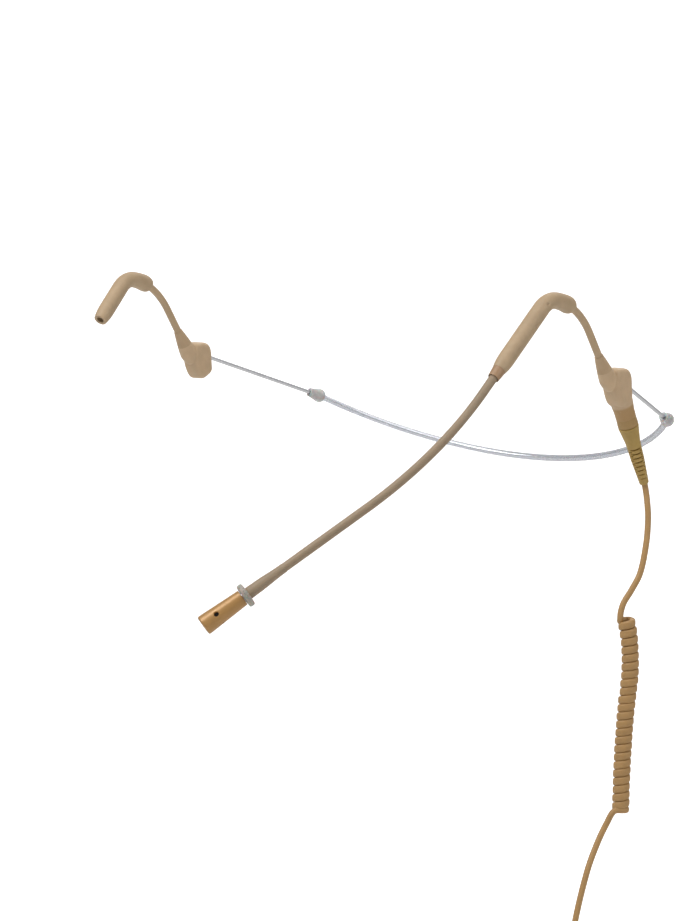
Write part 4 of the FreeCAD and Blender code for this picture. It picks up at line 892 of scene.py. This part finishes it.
def make_lead():
    """Plain, coiled and plain cable. The coil bows as it hangs, and its turns press each other flat."""
    top = JOINTS["coil_stretch"]["deforming_nodes"][0]["fixed_end_z_m"] / MM
    axis = np.array((*middle("cable_coil")[:2], top))
    share = np.linspace(0, 1, int(COIL_TURNS * 40) + 1)
    turn = COIL_START - share * COIL_TURNS * 2 * pi
    outward = np.stack([np.cos(turn), np.sin(turn), np.zeros(len(turn))], axis=1)
    rng = np.random.default_rng(11)
    uneven = np.interp(share * COIL_TURNS, np.arange(26), rng.normal(0, 0.045, 26))
    level = np.clip((share * COIL_TURNS - 0.35) / (COIL_TURNS - 0.7), 0, 1)
    coil = (axis + SIDEWAYS * eased(COIL_BOW, share)[:, None] + outward * (COIL_RADIUS + uneven)[:, None]
            - UP * (COIL_LENGTH * level)[:, None])
    boot_end = plug_place.moved(-BOOT_LENGTH - 0.5).origin
    behind = np.dot(boot_end - axis, REARWARDS)
    above = axis + np.array(UPPER_RUN) @ (SIDEWAYS, REARWARDS * behind, UP)
    upper = bezier_path([plug_place.moved(-7.0).origin, boot_end, *above, coil[0]], PLUG_DOWN,
                        REARWARDS - UP * 0.2)
    below = axis + np.array(LOWER_RUN) @ (SIDEWAYS, REARWARDS, UP)
    connector = connector_place.origin
    lower = bezier_path([coil[-1], *below, connector, connector - UP * 15.0], coil[-1] - coil[-2], -UP)
    upper, lower = evenly(upper, 0.3), evenly(lower, 0.4)
    path = np.vstack([upper, coil[1:-1], lower])
    hints = carried_hints(path, outward[1:-1], len(upper))
    halves = np.array([[TURN_HALF_WIDTH], [TURN_HALF_HEIGHT]])
    flat = np.sum(np.abs(circle(24) / halves) ** TURN_SQUARENESS, axis=0) ** (-1 / TURN_SQUARENESS)
    from_end = np.minimum(share, 1 - share)[1:-1] * COIL_TURNS
    pressed = np.concatenate([np.zeros(len(upper)), np.clip(from_end / 0.5, 0, 1), np.zeros(len(lower))])
    radii = CABLE_RADIUS + (flat - CABLE_RADIUS) * pressed[:, None]
    item = tube("coiled_lead", path, radii, cable_beige, sides=24, sharp=80, x_hint=hints)
    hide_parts("cable_upper", "cable_coil", "cable_lower")
    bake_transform(item)


# ---- body-pack connector
def make_connector():
    ribs = [(0.93, 11.4, 0), (0.93, 0.0, 0.05), (1.65, 0.0, 0.2)]
    for index in range(7):
        height = 1.2 + index * 1.35
        radius = 1.7 + 0.078 * height
        ribs += [(radius + 0.05, height, 0.1), (radius - 0.28, height + 0.1, 0.05),
                 (radius - 0.26, height + 0.55, 0.05), (radius + 0.10, height + 0.65, 0.1)]
    ribs += [(2.6, 11.5, 0.1), (3.9, 11.5, 0.1), (3.9, 12.6, 0.05), (0.93, 12.6, 0.02), (0.93, 11.5, 0)]
    boot = turned("connector_strain_relief", rounded(ribs), connector_place, black_rubber, closed=True)
    fit(boot, "lead", "dark_rubber", "connector_boot")
    sides = 160
    knurl = 0.09 * np.abs(np.sin(np.arange(sides) * pi / 4))
    outline = rounded([(2.75, 1.3, 0), (2.75, 0, 0.1), (4.1, 0, 0.15), (4.68, 0.8, 0.2), (4.7, 1.3, 0.1),
                       (4.72, 5.4, 0.2), (4.55, 5.8, 0.1), (4.68, 6.2, 0.1), (4.62, 6.5, 0.05),
                       (4.0, 6.5, 0.02), (4.0, 1.4, 0.02), (2.75, 1.4, 0)])
    rings = []
    for r, z in outline:
        gripped = knurl if 1.35 < z < 5.3 and r > 4.3 else 0.0
        rings.append(ring(circle(sides), r - gripped, z))
    local, faces = skin(rings, closed=True)
    points = connector_place.moved(10.0).out(local)
    nut = piece("knurled_nut", points, faces, black_paint, local=local, sharp=30)
    fit(nut, "lead", "shell_black", "connector_nut")


# ---- neckband
BAND_SLEEVE, BAND_BORE, WIRE_RADIUS = 1.0, 0.57, 0.6
BEAD_RADIUS, SNOUT_LENGTH = 2.1, 4.0


def band_path(inset):
    """Arc from bead to bead, from the angle between them and the band's lowest point."""
    low, high = np.array(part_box("band_wire")) / MM
    far = np.array((0.0, high[1] - WIRE_RADIUS * 0.83, low[2] + WIRE_RADIUS * 0.55))
    half = BEAD[0]
    chord = far - BEAD * (0, 1, 1)
    back, sag = unit(chord), norm(chord)
    radius = (half ** 2 + sag ** 2) / (2 * sag)
    centre = far - back * radius
    spread = math.asin(half / radius) - inset / radius
    turns = np.linspace(spread, -spread, 160)
    return centre + radius * (np.sin(turns)[:, None] * OUTWARD + np.cos(turns)[:, None] * back)


def make_bead(name, body, node, mirror=False):
    """Ball drawn out into a snout round the wire end, with a lip where the wire enters."""
    heights = BEAD_RADIUS * -np.cos(np.linspace(0, 0.62 * pi, 26))
    ball = list(zip(np.sqrt(np.maximum(BEAD_RADIUS ** 2 - heights ** 2, 0)), heights))
    mouth = SNOUT_LENGTH - 0.3
    snout = rounded([ball[-1] + (0,), (1.78, 1.5, 0.5), (1.42, 3.2, 0.4), (1.38, SNOUT_LENGTH, 0.22),
                     (0.72, SNOUT_LENGTH, 0.05), (0.72, mouth, 0.02), (0.99, mouth - 0.05, 0)])
    outline = ball + snout[1:].tolist() + [(0.99, -0.75), (0.0, -0.75)]
    item = turned(name, outline, stub_place, bead_clear, mirror=mirror)
    path = band_path(0.0) if mirror else band_path(0.0)[::-1]
    carve(item, tube("cutter", path[-12:], BAND_SLEEVE + 0.01, bead_clear))
    smoothed(item.data, 50)
    fit(item, body, "clear_silicone", node)


def make_band():
    path = band_path(1.25)
    sleeve = tube("band_sleeve_tubing", path, BAND_SLEEVE, clear_tube, bore=BAND_BORE, sides=40)
    fit(sleeve, "band", "clear_sleeve", "band_sleeve")
    wire = tube("band_spring_wire", path, WIRE_RADIUS, chrome, sides=32)
    fit(wire, "band", "chrome_wire", "band_wire")


def make_stub(name, body, node, mirror=False):
    end = STUB_LENGTH + 0.5
    outline = rounded([(0, -0.5, 0), (0.85, -0.5, 0.12), (0.85, -0.05, 0.08), (WIRE_RADIUS, -0.05, 0.02),
                       (WIRE_RADIUS, end, 0.15), (0, end, 0)])
    item = turned(name, outline, stub_place, chrome, sides=40, mirror=mirror)
    fit(item, body, "chrome_wire", node)


# ---- inside pieces keep their CAD shape
inside = {"along_piece": False}
steel = finish("turned_steel", (182, 183, 186), 0.28, bump=0.004, bump_scale=11.0, Metallic=1.0, **inside)
gold = finish("gold_contacts", (212, 172, 92), 0.25, bump=0.003, Metallic=1.0, **inside)
film = finish("metallised_film", (190, 184, 170), 0.2, bump=0.002, Metallic=0.9, **inside)
insulator = finish("off_white_insulator", (214, 210, 200), 0.5, bump=0.008, **inside)
black_insert = finish("black_insert", (36, 36, 38), 0.5, patch=0.12, bump=0.008, **inside)
board = finish("glass_fibre_board", (62, 112, 76), 0.4, patch=0.12, grain=0.1, grain_scale=5.0, bump=0.01,
    **inside)
inside_black = finish("inside_black_jacket", (46, 46, 48), 0.55, bump=0.012, **inside)
inside_rubber = finish("inside_black_rubber", (30, 30, 31), 0.66, bump=0.02, **inside)
mesh_black = finish("acoustic_mesh", (26, 26, 26), 0.8, grain=0.3, grain_scale=22.0, bump=0.05,
    bump_scale=22.0, **inside)
shell_paint = finish("connector_paint", (38, 38, 40), 0.32, patch=0.12, grain=0.1, bump=0.006,
    bump_scale=12.0, edge_wear=0.5, Metallic=0.4, **inside)
CARRIED = {
    steel: ("boom_ferrule", "hook_lining", "hook_anchor", "hook_wire", "wire_block", "plug_shell",
            "capsule_sleeve", "capsule_can", "right_hook_wire", "latch_leaf", "cable_clamp", "grip_bush_left",
            "grip_bush_right"),
    gold: ("socket_contacts", "plug_pins", "connector_contacts"),
    film: ("diaphragm", "backplate"),
    insulator: ("socket_insert", "plug_insert"),
    black_insert: ("connector_insert", "latch_button"),
    board: ("terminal_board", "capsule_board"),
    inside_black: ("hook_lead",),
    inside_rubber: ("collar_seal",),
    mesh_black: ("cap_mesh",),
    shell_paint: ("connector_shell",),
}
for material, nodes in CARRIED.items():
    for node in nodes:
        frame["nodes"][node].data.materials.clear()
        frame["nodes"][node].data.materials.append(material)

make_boom()
make_cap()
make_moisture_ring()
make_collar()
make_sleeve("ear_sleeve", SLEEVE_START, "ear_hook", "hook_sleeve")
make_hook_tube("ear_tube", "ear_hook", "hook_tube")
make_gland("tube_gland_cone", "ear_hook", "tube_gland")
make_housing()
make_socket()
make_boot()
make_lead()
make_connector()
make_stub("wire_end_left", "left_wire", "stub_wire_left")
make_bead("bead_left", "band", "adjuster_bead_left")
make_band()
make_bead("bead_right", "band", "adjuster_bead_right", mirror=True)
make_stub("wire_end_right", "right_wire", "stub_wire_right", mirror=True)
make_right_block()
make_gland("right_gland_cone", "right_hook", "right_gland", mirror=True)
make_hook_tube("right_ear_tube", "right_hook", "right_hook_tube", mirror=True)
make_sleeve("right_ear_sleeve", HOOK_STRAIGHT - 14.0, "right_hook", "right_hook_sleeve", mirror=True)


# ---- stage, light and camera
CAMERA_AZIMUTH, CAMERA_ELEVATION, CAMERA_DISTANCE = 38.0, 6.0, 1.2
CAMERA_AIM = Vector((0.00934, 0.00547, -0.01369))
CAMERA_LENS, FILM_HEIGHT, PICTURE_SHAPE = 161.8, 36.0, 0.734
PAPER_GLOW, COIL_REACH = 0.6, 70.0
WALL_DISTANCE, WALL_CURVE, WALL_HEIGHT, PAPER_FRONT, PAPER_HALF_WIDTH = 900.0, 400.0, 3000.0, 2500.0, 3000.0
ROOM_LIGHT, SEEN_LIGHT, MIRRORED_LIGHT = 0.25, 0.85, 0.6


def paper_material():
    """Matt white that glows where it is seen, and can't be seen from its back."""
    nodes = Nodes(bpy.data.materials.new("studio_paper"))
    place = nodes.add("TexCoord").outputs["Object"]
    fibre = nodes.span(nodes.noise(place, 160.0, 4.0), 0, 1)
    white = nodes.mix(fibre, (0.86, 0.86, 0.85, 1), (0.90, 0.90, 0.89, 1))
    paper = nodes.add("BsdfPrincipled", white, Roughness=0.9)
    path = nodes.add("LightPath").outputs
    seen = nodes.add("Math", path["Is Camera Ray"], path["Is Transmission Ray"], operation="MAXIMUM")
    glow = nodes.add("Emission", (1, 1, 1, 1), nodes.span(seen.outputs[0], 0, PAPER_GLOW, 0, 1))
    both = nodes.add("AddShader", paper.outputs[0], glow.outputs[0])
    behind = nodes.add("NewGeometry").outputs["Backfacing"]
    nothing = nodes.add("BsdfTransparent").outputs[0]
    return nodes.done(nodes.add("MixShader", behind, both.outputs[0], nothing))


def make_stage():
    """Pale floor, clear of the stretched lead, that curves up into a wall."""
    floor_height = cad_box[0][2] / MM - COIL_REACH
    turns = np.linspace(0, pi / 2, 24)
    profile = np.vstack([(-PAPER_FRONT, 0.0), np.stack([WALL_DISTANCE + WALL_CURVE * np.sin(turns),
                                                        WALL_CURVE * (1 - np.cos(turns))], axis=1),
                         (WALL_DISTANCE + WALL_CURVE, WALL_HEIGHT)])
    azimuth = radians(CAMERA_AZIMUTH)
    away = np.array((-math.sin(azimuth), math.cos(azimuth), 0.0))
    across = np.array((math.cos(azimuth), math.sin(azimuth), 0.0))
    points = [away * distance + across * side + UP * (floor_height + height)
              for distance, height in profile for side in (-PAPER_HALF_WIDTH, PAPER_HALF_WIDTH)]
    faces = [(row, row + 1, row + 3, row + 2) for row in range(0, len(points) - 2, 2)]
    sheet = piece("studio_floor", points, faces, paper_material())
    if sheet.data.polygons[0].normal.z < 0:
        sheet.data.flip_normals()


def aimed(item, azimuth, elevation, distance, target=Vector()):
    """Puts a light or camera at a distance from the target, looking at it."""
    turn, tilt = radians(azimuth), radians(elevation)
    ray = Vector((math.sin(turn) * math.cos(tilt), -math.cos(turn) * math.cos(tilt), math.sin(tilt)))
    item.location = target + ray * distance
    item.rotation_euler = ray.to_track_quat("Z", "Y").to_euler()
    SCENE.collection.objects.link(item)


def area_light(name, azimuth, elevation, distance, size, power):
    light = bpy.data.lights.new(name, "AREA")
    light.shape = "DISK"
    light.size = size
    light.energy = power
    aimed(bpy.data.objects.new(name, light), CAMERA_AZIMUTH + azimuth, elevation, distance)


def make_world():
    """Dim white room that looks bright where it is seen straight on, through clear parts or in metal."""
    nodes = Nodes(bpy.data.worlds.new("studio"))
    path = nodes.add("LightPath").outputs
    strength = ROOM_LIGHT
    for kind, level in (("Camera", SEEN_LIGHT), ("Transmission", SEEN_LIGHT), ("Glossy", MIRRORED_LIGHT)):
        strength = nodes.add("Math", path[f"Is {kind} Ray"], level - ROOM_LIGHT, strength,
                             operation="MULTIPLY_ADD").outputs[0]
    light = nodes.add("Background", (1.0, 1.0, 1.0, 1), strength)
    SCENE.world = nodes.done(light, "OutputWorld")


def make_camera():
    lens = bpy.data.cameras.new("camera")
    lens.sensor_fit = "VERTICAL"
    lens.sensor_width = FILM_HEIGHT * PICTURE_SHAPE
    lens.sensor_height = FILM_HEIGHT
    lens.lens = CAMERA_LENS
    lens.clip_start = 0.05
    camera = bpy.data.objects.new("camera", lens)
    aimed(camera, CAMERA_AZIMUTH, CAMERA_ELEVATION, CAMERA_DISTANCE, CAMERA_AIM)
    SCENE.camera = camera
    SCENE.view_settings.view_transform = "Standard"


make_stage()
area_light("key", -60, 48, 1.3, 0.9, 11.0)
area_light("fill", 55, 20, 1.4, 1.0, 4.5)
area_light("top", 10, 80, 1.3, 1.2, 6.5)
area_light("rear", 160, 35, 1.6, 0.9, 4.0)
make_world()
make_camera()
